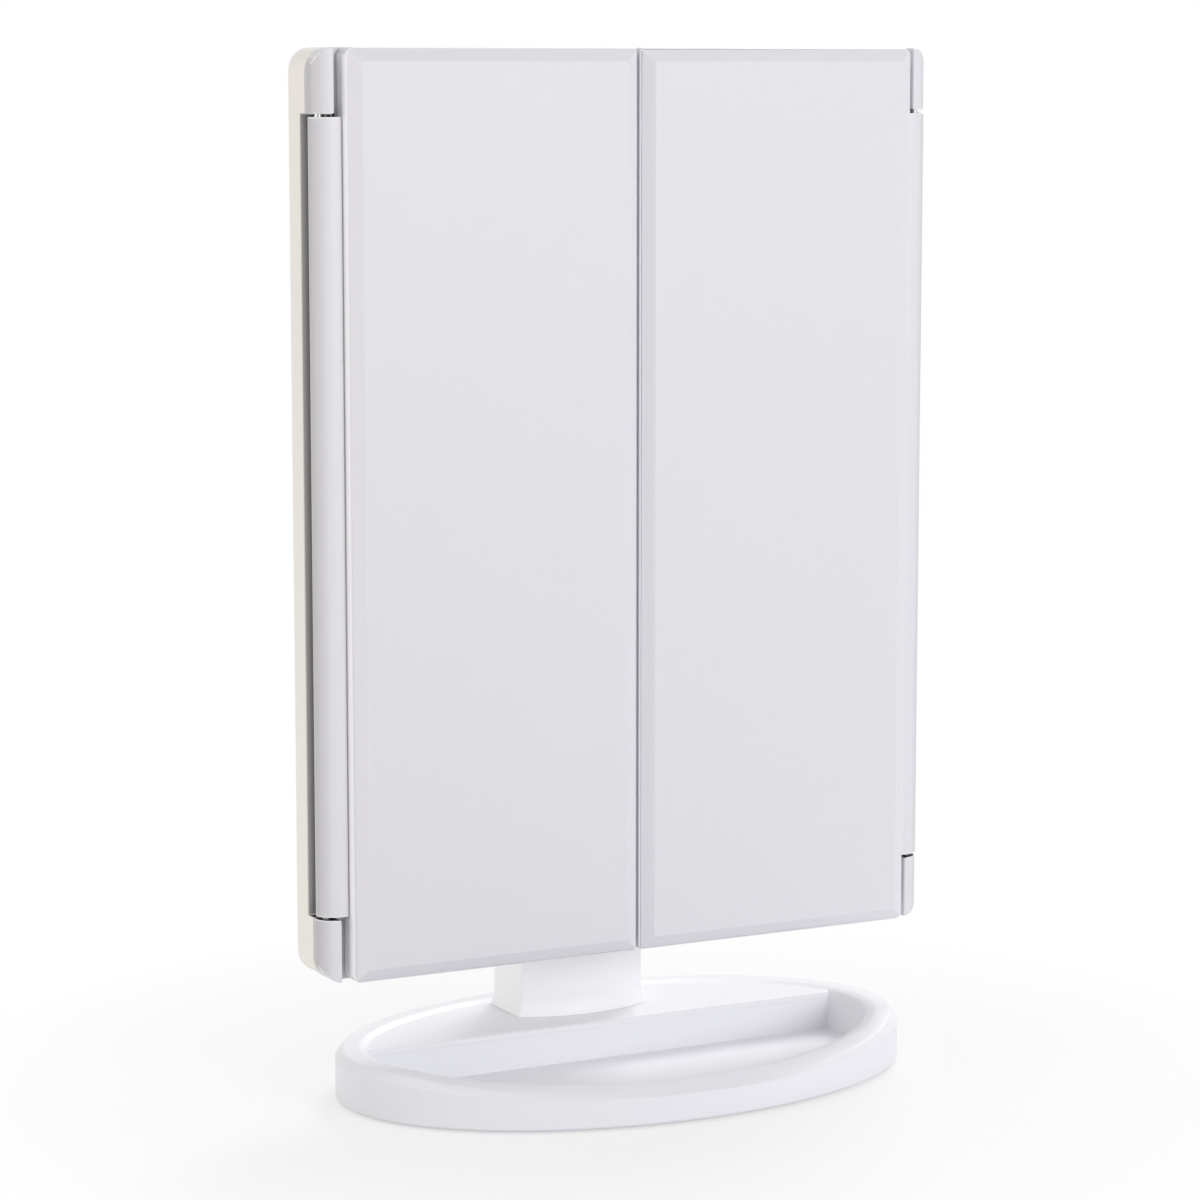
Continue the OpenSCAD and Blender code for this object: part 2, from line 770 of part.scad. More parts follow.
// The cover's own space: it runs in from the top and is closed at its lower end
module cover_space(gap) {
    lip_x = cover_x - groove_d - 0.4;
    box([-cover_x - gap, cover_y0 - gap, bay_z0 - gap], [cover_x + gap, cover_y1 + gap, house_z1 + 5]);
    box([-lip_x - gap, cover_y0, bay_z0 - gap], [lip_x + gap, house_y + 1, house_z1 + 5]);
}

module rear_casing() {
    tub = bay_wall;
    color(white) difference() {
        union() {
            difference() {
                casing_outer();
                side_notches(0, casing_y0 - 1);
                casing_inner();
            }
            battery_house();
            box([-bay_x - tub, bay_floor_y - tub, bay_z0 - tub],
                [bay_x + tub, casing_y1 - 0.5, bay_z1 + tub]);
            both_sides() ear();
            for (z = casing_screw_z) both_sides()
                along_y(screw_pad_r, casing_screw_x, z, frame_boss_y, back_wall_y + eps);
        }
        box([-bay_x, bay_floor_y, bay_z0], [bay_x, house_y + 1, bay_z1]);
        cover_space(cover_gap);
        ear_holes();
        for (z = casing_screw_z) both_sides() {
            along_y(screw_r + loose, casing_screw_x, z, frame_boss_y - 1, casing_y1 + 1);
            along_y(screw_head_r + loose, casing_screw_x, z, casing_y1 - screw_pad_t, casing_y1 + 1);
        }
        switch_slot();
        upright(socket_w + 2 * socket_gap, socket_h + 2 * socket_gap, 1, back_wall_y - 1, casing_y1 + 1,
            x = switch_x, z = socket_z);
    }
}

module casing_screws() {
    color(steel) for (z = casing_screw_z) both_sides()
        translate([casing_screw_x, casing_y1 - screw_pad_t, z]) rotate([90, 0, 0]) pan_screw(casing_screw_l);
}

// ---------- Front frame ----------

// A corner post's or a barrel's front: flat, with one large outer radius
module post_front_shape(in_x, back_y, edge_r) {
    low = post_y;
    intersection() {
        union() {
            translate([side_x - post_r, low + post_r]) circle(post_r);
            translate([in_x, low]) square([side_x - post_r - in_x, back_y - low]);
            translate([in_x, low + post_r]) square([side_x - in_x, max(eps, back_y - low - post_r)]);
        }
        union() {
            translate([in_x, low + edge_r]) square([side_x - in_x, back_y - low - edge_r]);
            translate([in_x + edge_r, low]) square([side_x - in_x - edge_r, back_y - low]);
            translate([in_x + edge_r, low + edge_r]) circle(edge_r);
        }
    }
}

module corner_posts() {
    post_w = side_x - post_in_x;
    both_sides() for (end = [-1, 1]) let (mid = head_mid + end * (head_h - post_h) / 2)
        intersection() {
            translate([0, 0, mid - post_h / 2]) linear_extrude(post_h)
                post_front_shape(post_in_x, casing_y0, post_edge_r);
            upright(head_w, head_h, head_r, post_y - 1, casing_y0 + 1);
            upright(post_w + 4, post_h + 4, post_edge_r + 0.3, post_y - 1, casing_y0 + 1,
                x = side_x + 2 - post_w / 2, z = mid + end * 2);
        }
}

module front_frame() {
    color(white) difference() {
        union() {
            difference() {
                upright(head_w, head_h, head_r, face_y, casing_y0);
                side_notches(0, face_y - 1);
            }
            upright(2 * floor_x, head_h - 2 * wall - 0.4, 2, floor_y0 - 0.5, floor_y1);
            corner_posts();
            for (z = casing_screw_z) both_sides()
                along_y(frame_boss_r, casing_screw_x, z, floor_y0, frame_boss_y);
            for (at = board_corners()) along_y(2.6, at.x, at.y, floor_y0, board_y0);
        }
        upright(2 * frame_pocket_x, pocket_z1 - pocket_z0, mirror_r, face_y - 1, floor_y0);
        both_sides() box([diffuser_x - led_slot_w / 2, floor_y0 - 1, head_mid - led_span / 2 - 3],
            [diffuser_x + led_slot_w / 2, floor_y1 + 1, head_mid + led_span / 2 + 3]);
        along_y(touch_r + 0.5, 0, touch_z, floor_y0 - 1, floor_y1 + 1);
        for (z = casing_screw_z) both_sides()
            along_y(screw_r + snug, casing_screw_x, z, frame_boss_y - casing_screw_l, frame_boss_y + 1);
        for (at = board_corners()) along_y(screw_r + snug, at.x, at.y, floor_y0 + 0.5, board_y0 + 1);
        both_sides() for (z = [notch_z0 - pin_in_post - 0.5, notch_z1 - eps])
            translate([pin_x, axis_y, z]) cylinder(r = pin_r + snug, h = pin_in_post + 0.5 + eps);
    }
}

module hinge_pins(side) {
    length = pin_in_post + barrel_gap + pin_in_barrel;
    color(steel) translate([side * pin_x, axis_y, 0]) {
        translate([0, 0, notch_z0 - pin_in_post]) cylinder(r = pin_r, h = length);
        translate([0, 0, barrel_z1 - pin_in_barrel]) cylinder(r = pin_r, h = length);
    }
}

module centre_mirror() {
    color(silver) upright(2 * centre_x, centre_h, mirror_r, face_y + mirror_recess, floor_y0);
}

module light_diffuser(side) {
    color([0.97, 0.97, 0.94]) upright(diffuser_w, centre_h, 0.8, face_y + mirror_recess, floor_y0,
        x = side * diffuser_x);
}

module led_board(side) {
    color(inner_white) upright(led_board_w, led_board_h, 0.5, floor_y1, floor_y1 + led_board_t,
        x = side * diffuser_x);
}

module leds(side) {
    color([0.98, 0.93, 0.70]) for (i = [0 : led_count - 1])
        translate([side * diffuser_x, floor_y1 - led_h / 2, head_mid + (i - (led_count - 1) / 2) * led_pitch])
            cube([led_w, led_h, led_l], center = true);
}

// ---------- Controls ----------

function board_corners() = [for (x = [board_x0 + board_inset, board_x1 - board_inset],
    z = [board_z0 + board_inset, board_z1 - board_inset]) [x, z]];

module control_board() {
    color(board_green) difference() {
        box([board_x0, board_y0, board_z0], [board_x1, board_y1, board_z1]);
        for (at = board_corners()) along_y(screw_r + 0.3, at.x, at.y, board_y0 - 1, board_y1 + 1);
    }
}

module board_screws() {
    color(steel) for (at = board_corners())
        translate([at.x, board_y1, at.y]) rotate([90, 0, 0]) pan_screw(board_t + 2.8);
}

module touch_pad() {
    color(steel) {
        along_y(touch_r, 0, touch_z, floor_y0, floor_y0 + 0.5);
        along_y(1.5, 0, touch_z, floor_y0 + 0.5 - eps, board_y0);
    }
}

module switch_slot() {
    upright(thumb_w + switch_travel + 2 * thumb_slot_gap, thumb_h + 2 * thumb_slot_gap, 0.5,
        back_wall_y - 1, casing_y1 + 1, x = switch_x, z = switch_z);
}

module switch_case() {
    half = switch_case_w / 2;
    color(dark) difference() {
        box([switch_x - half, board_y1, switch_z - switch_case_h / 2],
            [switch_x + half, switch_case_y, switch_z + switch_case_h / 2]);
        box([switch_x - (tang_w + switch_travel) / 2 - 0.2, switch_case_y - tang_d - 0.2, switch_z - 0.9],
            [switch_x + (tang_w + switch_travel) / 2 + 0.2, switch_case_y + 1, switch_z + 0.9]);
    }
}

module power_switch() {
    x = switch_x - switch_travel / 2;
    flange = thumb_w / 2 + switch_travel + 0.6;
    color(dark) {
        box([x - flange, thumb_y0, switch_z - thumb_h / 2 - thumb_flange],
            [x + flange, thumb_y0 + thumb_flange_t, switch_z + thumb_h / 2 + thumb_flange]);
        upright(thumb_w, thumb_h, 0.4, thumb_y0, casing_y1 + thumb_out, x = x, z = switch_z);
        box([x - tang_w / 2, switch_case_y - tang_d, switch_z - 0.7],
            [x + tang_w / 2, thumb_y0 + eps, switch_z + 0.7]);
    }
}

module usb_socket() {
    inner_w = socket_w - 2 * socket_skin;
    inner_h = socket_h - 2 * socket_skin;
    color(steel) {
        difference() {
            upright(socket_w, socket_h, 0.8, board_y1, socket_y1, x = switch_x, z = socket_z);
            upright(inner_w, inner_h, 0.5, board_y1 + 1, socket_y1 + 1, x = switch_x, z = socket_z);
        }
        box([switch_x - inner_w / 2 + 1.2, board_y1 + 1 - eps, socket_z - 0.3],
            [switch_x + inner_w / 2 - 1.2, socket_y1 - 0.8, socket_z + 0.3]);
    }
}

// ---------- Batteries ----------

function cell_x(i) = cell_first_x + i * cell_pitch;
function cell_up(i) = i % 2 == 0;

module aa_cells() {
    button_h = 1.2;
    color([0.20, 0.45, 0.60]) for (i = [0 : cell_count - 1]) {
        flip = cell_up(i) ? 0 : 180;
        mid = cell_up(i) ? bay_z1 - contact_t - cell_l / 2 : bay_z0 + contact_t + cell_l / 2;
        translate([cell_x(i), cell_y, mid]) rotate([flip, 0, 0]) {
            translate([0, 0, -cell_l / 2]) cylinder(r = cell_r, h = cell_l - button_h);
            translate([0, 0, cell_l / 2 - button_h - eps]) cylinder(r = 2.65, h = button_h + eps);
        }
    }
}

// A leaf spring folded from strip, one at the flat end of each cell
module contact_springs() {
    leaf = 0.4;
    foot = 0.4 * contact_w;
    reach = spring_room - 0.3;
    color(steel) for (i = [0 : cell_count - 1]) {
        turn = cell_up(i) ? 0 : 180;
        end_z = cell_up(i) ? bay_z0 : bay_z1;
        translate([cell_x(i), cell_y, end_z]) rotate([turn, 0, 0]) {
            translate([-contact_w / 2, -contact_w / 2, 0]) cube([contact_w, contact_w, leaf]);
            translate([-0.3 * contact_w, 0, 0]) rotate([90, 0, 90]) linear_extrude(0.6 * contact_w)
                polygon([[-foot, 0], [-foot + leaf, 0], [0, reach - leaf], [foot - leaf, 0], [foot, 0],
                    [leaf, reach], [-leaf, reach]]);
        }
    }
}

module contact_plates() {
    color(steel) for (i = [0 : cell_count - 1]) {
        low = cell_up(i) ? bay_z1 - contact_t : bay_z0;
        translate([cell_x(i) - contact_w / 2, cell_y - contact_w / 2, low])
            cube([contact_w, contact_w, contact_t]);
    }
}

module battery_cover() {
    color(white) difference() {
        union() {
            box([-cover_x, cover_y0, bay_z0], [cover_x, cover_y1, house_z1]);
            box([-bay_x + 0.4, cover_y1 - eps, bay_z0], [bay_x - 0.4, house_y, house_z1]);
        }
        for (i = [0 : 3]) let (low = bay_z1 - 12 - i * 2.4)
            box([-8, house_y - 0.5, low], [8, house_y + 1, low + 1]);
    }
}

// ---------- Wiring ----------

// A lead: straight runs joined at round bends
module lead(route, r = 0.6) {
    for (i = [0 : len(route) - 2]) let (a = route[i], b = route[i + 1], d = b - a) {
        translate(a) rotate([0, acos(d.z / norm(d)), atan2(d.y, d.x)]) cylinder(r = r, h = norm(d), $fn = 24);
        if (i > 0) translate(a) sphere(r = r, $fn = 24);
    }
}

module wiring() {
    wire_y = board_y1 + 0.9;
    power_z = board_z1 - 4;
    light_z = board_z1 - 10;
    light_y = floor_y1 + led_board_t;
    color([0.75, 0.15, 0.12]) for (x = [-power_lead_x, power_lead_x])
        lead([[x, board_y1, power_z], [x, wire_y, power_z], [x, wire_y, bay_z0 - bay_wall]]);
    color(dark) for (end = [[board_x1 - 17, diffuser_x], [0, -diffuser_x]])
        lead([[end[0], board_y1, light_z], [end[0], wire_y, light_z],
            [end[1], wire_y, light_z], [end[1], light_y, light_z]]);
}

// ---------- Wings ----------

// The right wing's outside, with a bevel all round its back
module wing_block() {
    margin = 5;
    intersection() {
        translate([0, 0, head_z0 - margin]) linear_extrude(head_h + 2 * margin)
            polygon([[seam_x, wing_face_y], [seam_x, wing_back_y + bevel_d], [seam_x + bevel_w, wing_back_y],
                [panel_x - bevel_w, wing_back_y], [panel_x, wing_back_y + bevel_d], [panel_x, wing_face_y]]);
        translate([-margin, 0, 0]) rotate([90, 0, 90]) linear_extrude(side_x + 2 * margin)
            polygon([[wing_face_y, head_z0], [wing_back_y + bevel_d, head_z0], [wing_back_y, head_z0 + bevel_w],
                [wing_back_y, head_z1 - bevel_w], [wing_back_y + bevel_d, head_z1], [wing_face_y, head_z1]]);
        upright(wing_w, head_h, seam_corner_r, wing_back_y - 1, wing_face_y + 1, x = wing_mid_x);
        upright(wing_w + 2 * margin, head_h, wing_corner_r, wing_back_y - 1, wing_face_y + 1,
            x = wing_mid_x - margin);
    }
}

// The barrel along the wing's outer edge, which turns on the two pins
module barrel() {
    web_x = panel_x - 1;
    translate([0, 0, barrel_z0]) linear_extrude(barrel_z1 - barrel_z0) {
        translate([pin_x, axis_y]) circle(axis_inset);
        post_front_shape(panel_x + groove_w, wing_face_y, eps);
        translate([web_x, post_y + barrel_joint])
            square([pin_x - web_x, wing_face_y - post_y - barrel_joint]);
    }
}

module wing_cover() {
    color(white) difference() {
        union() {
            difference() {
                wing_block();
                upright(wing_w - 2 * wing_wall, head_h - 2 * wing_wall, 1, bezel_y, wing_face_y + 1,
                    x = wing_mid_x);
                upright(wing_w - 2 * (wing_wall + bezel_ledge), head_h - 2 * (wing_wall + bezel_ledge), 1,
                    wing_back_y + wing_wall, wing_face_y + 1, x = wing_mid_x);
            }
            intersection() {
                barrel();
                box([panel_x - 0.5, -50, 0], [side_x + 1, 50, head_z1]);
            }
        }
        for (z = [barrel_z0 - eps, barrel_z1 - pin_in_barrel - 0.5])
            translate([pin_x, axis_y, z]) cylinder(r = pin_r + running, h = pin_in_barrel + 0.5 + eps);
    }
}

module wing_bezel(pockets) {
    color(inner_white) difference() {
        upright(bezel_w, bezel_h, 1, bezel_y, wing_face_y, x = wing_mid_x);
        for (span = pockets)
            upright(pocket_w, span[1] - span[0], mirror_r + mirror_gap, mirror_back_y, wing_face_y + 1,
                x = wing_mid_x, z = (span[0] + span[1]) / 2);
    }
}

// A plain mirror plate in a wing's pocket, between two heights
module wing_mirror(span) {
    upright(pocket_w - 2 * mirror_gap, span[1] - span[0] - 2 * mirror_gap, mirror_r,
        mirror_back_y, wing_face_y - mirror_recess, x = wing_mid_x, z = (span[0] + span[1]) / 2);
}

// A mirror plate with a shallow dish that magnifies
module dished_mirror(span) {
    reach = norm([pocket_w, span[1] - span[0]]) / 2;
    rings = 12;
    difference() {
        wing_mirror(span);
        translate([wing_mid_x, wing_face_y - mirror_recess, (span[0] + span[1]) / 2]) rotate([90, 0, 0])
            rotate_extrude($fn = 96) polygon(concat(
                [for (k = [0 : rings]) let (share = k / rings) [reach * share, dish * (1 - share * share)]],
                [[reach, -1], [0, -1]]));
    }
}

pocket_low = head_mid - pocket_h / 2;
pocket_high = head_mid + pocket_h / 2;
upper_span = [pocket_high - magnifier_h, pocket_high];
lower_span = [pocket_low, pocket_high - magnifier_h - crossbar_w];
whole_span = [pocket_low, pocket_high];

module left_wing_cover() { mirror([1, 0, 0]) wing_cover(); }
module left_wing_bezel() { mirror([1, 0, 0]) wing_bezel([upper_span, lower_span]); }
module magnifier_upper() { color(silver) mirror([1, 0, 0]) dished_mirror(upper_span); }
module magnifier_lower() { color(silver) mirror([1, 0, 0]) dished_mirror(lower_span); }
module right_wing_cover() { wing_cover(); }
module right_wing_bezel() { wing_bezel([whole_span]); }
module right_mirror() { color(silver) wing_mirror(whole_span); }

base_tray();
base_bottom_plate();
rubber_feet();
base_screws();
neck_shell();
neck_back_cover();
neck_cover_screws();
neck_screws();
friction_washers();
rear_casing();
front_frame();
centre_mirror();
light_diffuser(-1);  // light_diffuser_left
light_diffuser(1);  // light_diffuser_right
led_board(-1);  // led_board_left
led_board(1);  // led_board_right
leds(-1);  // leds_left
leds(1);  // leds_right
control_board();
board_screws();
touch_pad();
switch_case();
usb_socket();
aa_cells();
contact_springs();
contact_plates();
battery_cover();
power_switch();
wiring();
casing_screws();
hinge_pins(-1);  // hinge_pins_left
hinge_pins(1);  // hinge_pins_right
tilt_bolt();
spring_washer();
tilt_nut();
hinge_caps();
left_wing_cover();
left_wing_bezel();
magnifier_upper();
magnifier_lower();
right_wing_cover();
right_wing_bezel();
right_mirror();
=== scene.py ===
"""Looks of a folding three-panel vanity mirror: moulded shells, mirror plates, lights and hinges."""

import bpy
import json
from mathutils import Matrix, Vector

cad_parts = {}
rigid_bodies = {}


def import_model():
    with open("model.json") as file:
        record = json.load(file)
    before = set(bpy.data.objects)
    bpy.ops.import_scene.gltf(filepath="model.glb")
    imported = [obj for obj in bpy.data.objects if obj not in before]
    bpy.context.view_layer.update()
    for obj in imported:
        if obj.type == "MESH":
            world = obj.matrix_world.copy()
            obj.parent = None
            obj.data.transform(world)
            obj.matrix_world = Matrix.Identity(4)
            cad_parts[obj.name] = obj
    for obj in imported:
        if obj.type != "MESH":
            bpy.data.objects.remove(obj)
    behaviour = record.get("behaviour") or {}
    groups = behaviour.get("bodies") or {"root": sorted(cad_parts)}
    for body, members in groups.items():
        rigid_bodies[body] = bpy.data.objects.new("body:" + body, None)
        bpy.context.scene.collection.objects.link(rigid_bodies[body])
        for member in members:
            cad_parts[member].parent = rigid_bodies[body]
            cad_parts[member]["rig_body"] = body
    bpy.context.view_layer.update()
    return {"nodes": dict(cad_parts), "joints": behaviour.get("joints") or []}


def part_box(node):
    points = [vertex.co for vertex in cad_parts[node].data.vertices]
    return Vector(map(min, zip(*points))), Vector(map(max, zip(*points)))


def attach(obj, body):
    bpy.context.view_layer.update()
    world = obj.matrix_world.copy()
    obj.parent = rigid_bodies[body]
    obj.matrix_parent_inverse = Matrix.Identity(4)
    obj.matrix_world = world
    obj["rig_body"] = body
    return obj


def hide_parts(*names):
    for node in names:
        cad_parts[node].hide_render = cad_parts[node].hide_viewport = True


bl_info = {
    "name": "Folding vanity mirror",
    "version": (1, 0, 0),
    "blender": (4, 5, 0),
    "location": "3D View > Sidebar > Mirror",
    "description": "Dresses a folding three-panel vanity mirror and sets up its studio",
    "category": "Add Mesh",
}

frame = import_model()

import json
from math import atan2, cos, hypot, pi, radians, sin, sqrt

import bmesh
import bpy
from bpy.props import FloatProperty, FloatVectorProperty, IntProperty, PointerProperty
from mathutils import Vector
from mathutils.geometry import intersect_line_line_2d

MM = 0.001
SAME_PLACE = 1e-6  # points nearer than this are one point
CREASE = 28  # degrees: an edge sharper than this has a radius

# Sizes of the CAD part that the boxes of its nodes don't give
NOTCH = 85 * MM  # |x| past which the notches for the wings' barrels lie
BARREL = 86 * MM  # |x| past which there are only barrels and the posts in line with them
SPIGOT_X, SPIGOT_Y = 15 * MM, 7 * MM  # half the width and depth of the neck's end in the base
DECK_DROP = 0.8 * MM  # from the top of the rim down to the deck
SCREW_HOLE = 1.22 * MM
BOLT_BORE = 3.02 * MM


# ---------- Reading the frame ----------

def body_of(node):
    return frame["nodes"][node]["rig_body"]


def joint_place(name):
    return next(Vector(joint["pos_m"]) for joint in frame["joints"] if joint["name"] == name)


def middle_of(node):
    low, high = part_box(node)
    return (low + high) / 2


def box_round(vertices):
    """The lowest and the highest corner of some vertices."""
    return [Vector([pick(v.co[i] for v in vertices) for i in range(3)]) for pick in (min, max)]


# ---------- Modelling ----------

def only(*pieces):
    bpy.ops.object.select_all(action="DESELECT")
    for piece in pieces:
        piece.select_set(True)
    bpy.context.view_layer.objects.active = pieces[0]


class Editing:
    """Edit mode on one piece. pick() selects the faces whose middle and direction pass a test."""

    def __init__(self, piece, kind="FACE"):
        self.piece = piece
        self.kind = kind

    def __enter__(self):
        only(self.piece)
        bpy.ops.object.mode_set(mode="EDIT")
        bpy.ops.mesh.select_mode(type=self.kind)
        bpy.ops.mesh.select_all(action="DESELECT")
        return self

    def __exit__(self, *error):
        bpy.ops.object.mode_set(mode="OBJECT")

    def pick(self, test):
        bpy.ops.mesh.select_all(action="DESELECT")
        mesh = bmesh.from_edit_mesh(self.piece.data)
        found = [face for face in mesh.faces if test(face.calc_center_median(), face.normal)]
        if not found:
            raise RuntimeError(f"nothing to pick on {self.piece.name}")
        for face in found:
            face.select_set(True)
        bmesh.update_edit_mesh(self.piece.data)

    def inset(self, thickness, depth=0.0):
        bpy.ops.mesh.inset(thickness=thickness, depth=depth)

    def extrude(self, move):
        bpy.ops.mesh.extrude_region_move(TRANSFORM_OT_translate={"value": move})


def named(name):
    """The new primitive, with its place put into its mesh."""
    piece = bpy.context.active_object
    piece.name = name
    bpy.ops.object.transform_apply(location=True, rotation=True, scale=True)
    return piece


def block(name, low, high):
    """A cube between two corners, to start a piece or to cut with."""
    low, high = Vector(low), Vector(high)
    bpy.ops.object.select_all(action="DESELECT")
    bpy.ops.mesh.primitive_cube_add(size=1.0, location=(low + high) / 2, scale=high - low)
    return named(name)


def rod(name, radius, start, end, sides=48, tip=None):
    """A cylinder or cone between two points, to start a piece or to cut with."""
    start, end = Vector(start), Vector(end)
    bpy.ops.object.select_all(action="DESELECT")
    bpy.ops.mesh.primitive_cone_add(
        vertices=sides, radius1=radius, radius2=radius if tip is None else tip, depth=(end - start).length,
        location=(start + end) / 2, rotation=(end - start).to_track_quat("Z", "Y").to_euler())
    return named(name)


def drawn_up(name, rings):
    """A solid whose first ring of points is extruded to each next ring in turn."""
    bpy.ops.object.select_all(action="DESELECT")
    bpy.ops.mesh.primitive_circle_add(vertices=len(rings[0]), fill_type="NGON")
    piece = named(name)
    with Editing(piece, "VERT"):
        mesh = bmesh.from_edit_mesh(piece.data)
        turn = mesh.verts.layers.int.new("turn")
        for index, vertex in enumerate(mesh.verts):
            vertex[turn] = index
        bmesh.update_edit_mesh(piece.data)
        bpy.ops.mesh.select_all(action="SELECT")
        for step, ring in enumerate(rings):
            if step:
                bpy.ops.mesh.extrude_region_move()
            mesh = bmesh.from_edit_mesh(piece.data)
            turn = mesh.verts.layers.int["turn"]
            for vertex in mesh.verts:
                if vertex.select:
                    vertex.co = ring[vertex[turn]]
            bmesh.update_edit_mesh(piece.data)
        bpy.ops.mesh.select_all(action="SELECT")
        bpy.ops.mesh.normals_make_consistent(inside=False)
    piece.data.attributes.remove(piece.data.attributes["turn"])
    return piece


def turned(name, profile, sides=32):
    """A solid turned about Z, from pairs of a radius and a height."""
    turns = [2 * pi * side / sides for side in range(sides)]
    return drawn_up(name, [[(radius * cos(turn), radius * sin(turn), z) for turn in turns]
                           for radius, z in profile])


def drawn_along(name, radius, path, across, sides=12):
    """A round wire along a path in the plane that the direction across is square to."""
    rings = []
    for index, at in enumerate(path):
        ahead = (path[min(index + 1, len(path) - 1)] - path[max(index - 1, 0)]).normalized()
        up = ahead.cross(across)
        rings.append([at + radius * (cos(2 * pi * side / sides) * across + sin(2 * pi * side / sides) * up)
                      for side in range(sides)])
    return drawn_up(name, rings)


def bent(corners, radius):
    """A path through corners, each of them rounded."""
    path = [corners[0]]
    for before, corner, after in zip(corners, corners[1:], corners[2:]):
        start = corner + (before - corner).normalized() * radius
        end = corner + (after - corner).normalized() * radius
        path += [start.lerp(corner, step / 8).lerp(corner.lerp(end, step / 8), step / 8) for step in range(9)]
    return [*path, corners[-1]]


def modified(piece, kind, **settings):
    only(piece)
    modifier = piece.modifiers.new(kind, kind)
    for key, value in settings.items():
        setattr(modifier, key, value)
    bpy.ops.object.modifier_apply(modifier=kind)


def combine(piece, operation, *others):
    """Cuts others away from a piece, adds them to it or keeps what they share."""
    for other in others:
        modified(piece, "BOOLEAN", operation=operation, solver="EXACT", object=other)
        bpy.data.objects.remove(other)


def cut(piece, *others):
    combine(piece, "DIFFERENCE", *others)


def add(piece, *others):
    combine(piece, "UNION", *others)


def room_beside(loop):
    """How far a face reaches from one of its edges before it meets another edge."""
    start, end = loop.vert.co, loop.link_loop_next.vert.co
    length = (end - start).length
    along = (end - start) / length
    inward = loop.face.normal.cross(along)
    nearest = 1.0
    for edge in loop.face.edges:
        if loop.vert in edge.verts or loop.link_loop_next.vert in edge.verts:
            continue
        (u1, v1), (u2, v2) = sorted(((v.co - start).dot(along), (v.co - start).dot(inward))
                                    for v in edge.verts)
        low, high = max(u1, 0.02 * length), min(u2, 0.98 * length)
        if low <= high:
            rise = (v2 - v1) / (u2 - u1) if u2 - u1 > SAME_PLACE / 10 else 0.0
            ends = [v1 + rise * (u - u1) for u in (low, high)] if rise else [v1, v2]
            if min(ends) > SAME_PLACE / 10:
                nearest = min(nearest, *ends)
    return nearest


def crossings(data, spare):
    """The corners of the faces that cross themselves: their triangles cover more than they should,
    by a spare share of the face and a little more."""
    data.calc_loop_triangles()
    cover, little = [0.0] * len(data.polygons), 0.3 * MM * MM
    for part in data.loop_triangles:
        cover[part.polygon_index] += part.area
    found = []
    for face in data.polygons:
        if cover[face.index] < (1 + spare) * face.area + little:
            continue
        corners = [data.vertices[i].co for i in face.vertices]
        axis = max(range(3), key=lambda i: abs(face.normal[i]))
        flat = [Vector([c for i, c in enumerate(corner) if i != axis]) for corner in corners]
        sides = [(i, (i + 1) % len(flat)) for i in range(len(flat))]
        for one, (a, b) in enumerate(sides):
            for c, d in sides[one + 2:]:
                if d != a and intersect_line_line_2d(flat[a], flat[b], flat[c], flat[d]):
                    found += [corners[i].copy() for i in (a, b, c, d)]
    return found


def round_edges(piece, width, segments=3, angle=CREASE, finish=None, spare=0.12):
    """A radius on every edge sharper than an angle, in a finish of its own. It is less where there is
    no room for it, and it is left out where faces would cross themselves or leave the piece's box."""
    if finish:
        piece.data.materials.append(finish)
    mesh = bmesh.new()
    mesh.from_mesh(piece.data)
    low, high = box_round(mesh.verts)
    slack, weld, near, far = 0.02 * MM, 0.07 * width, 3 * width, 12 * width
    share = mesh.edges.layers.float.new("bevel_weight_edge")
    for edge in mesh.edges:
        if edge.calc_face_angle() > radians(angle):
            edge[share] = min(1.0, 0.45 * min(room_beside(loop) for loop in edge.link_loops) / width)
    for _ in range(6):
        mesh.to_mesh(piece.data)
        modified(piece, "BEVEL", width=width, segments=segments, limit_method="WEIGHT",
                 use_clamp_overlap=False, material=len(piece.data.materials) - 1 if finish else -1)
        with Editing(piece, "VERT"):
            bpy.ops.mesh.select_all(action="SELECT")
            bpy.ops.mesh.remove_doubles(threshold=weld)
        faults = [(at, near) for at in crossings(piece.data, spare)]
        faults += [(v.co.copy(), far) for v in piece.data.vertices
                   if any(v.co[i] < low[i] - slack or v.co[i] > high[i] + slack for i in range(3))]
        if not faults:
            break
        for edge in mesh.edges:
            ends = [v.co for v in edge.verts]
            if edge[share] and any((end - at).length < reach for end in ends for at, reach in faults):
                edge[share] = 0.0
    mesh.free()
    piece.data.attributes.remove(piece.data.attributes["bevel_weight_edge"])


def plain(piece):
    """Joins the flat triangles that a copied or a cut mesh is made of."""
    with Editing(piece, "VERT"):
        bpy.ops.mesh.select_all(action="SELECT")
        bpy.ops.mesh.remove_doubles(threshold=SAME_PLACE)
        bpy.ops.mesh.dissolve_limited(angle_limit=radians(0.6))


def copy_of_node(node, name):
    """A merged copy of a CAD node's mesh."""
    piece = bpy.data.objects.new(name, frame["nodes"][node].data.copy())
    bpy.context.scene.collection.objects.link(piece)
    only(piece)
    bpy.ops.mesh.customdata_custom_splitnormals_clear()
    plain(piece)
    piece.data.materials.clear()
    return piece


def copied(piece, name, move=(0, 0, 0), turn=None):
    """A copy with its own mesh, turned about the origin and moved."""
    twin = bpy.data.objects.new(name, piece.data.copy())
    bpy.context.scene.collection.objects.link(twin)
    only(twin)
    if turn:
        twin.rotation_euler = turn
    twin.location = move
    bpy.ops.object.transform_apply(location=True, rotation=True, scale=True)
    return twin


def joined(name, pieces):
    only(*pieces)
    if len(pieces) > 1:
        bpy.ops.object.join()
    pieces[0].name = name
    return pieces[0]


def repeated(name, piece, places):
    """Copies one finished piece to places, each a move and a turn, and joins the copies."""
    copies = [copied(piece, name, move, turn) for move, turn in places]
    bpy.data.objects.remove(piece)
    return joined(name, copies)


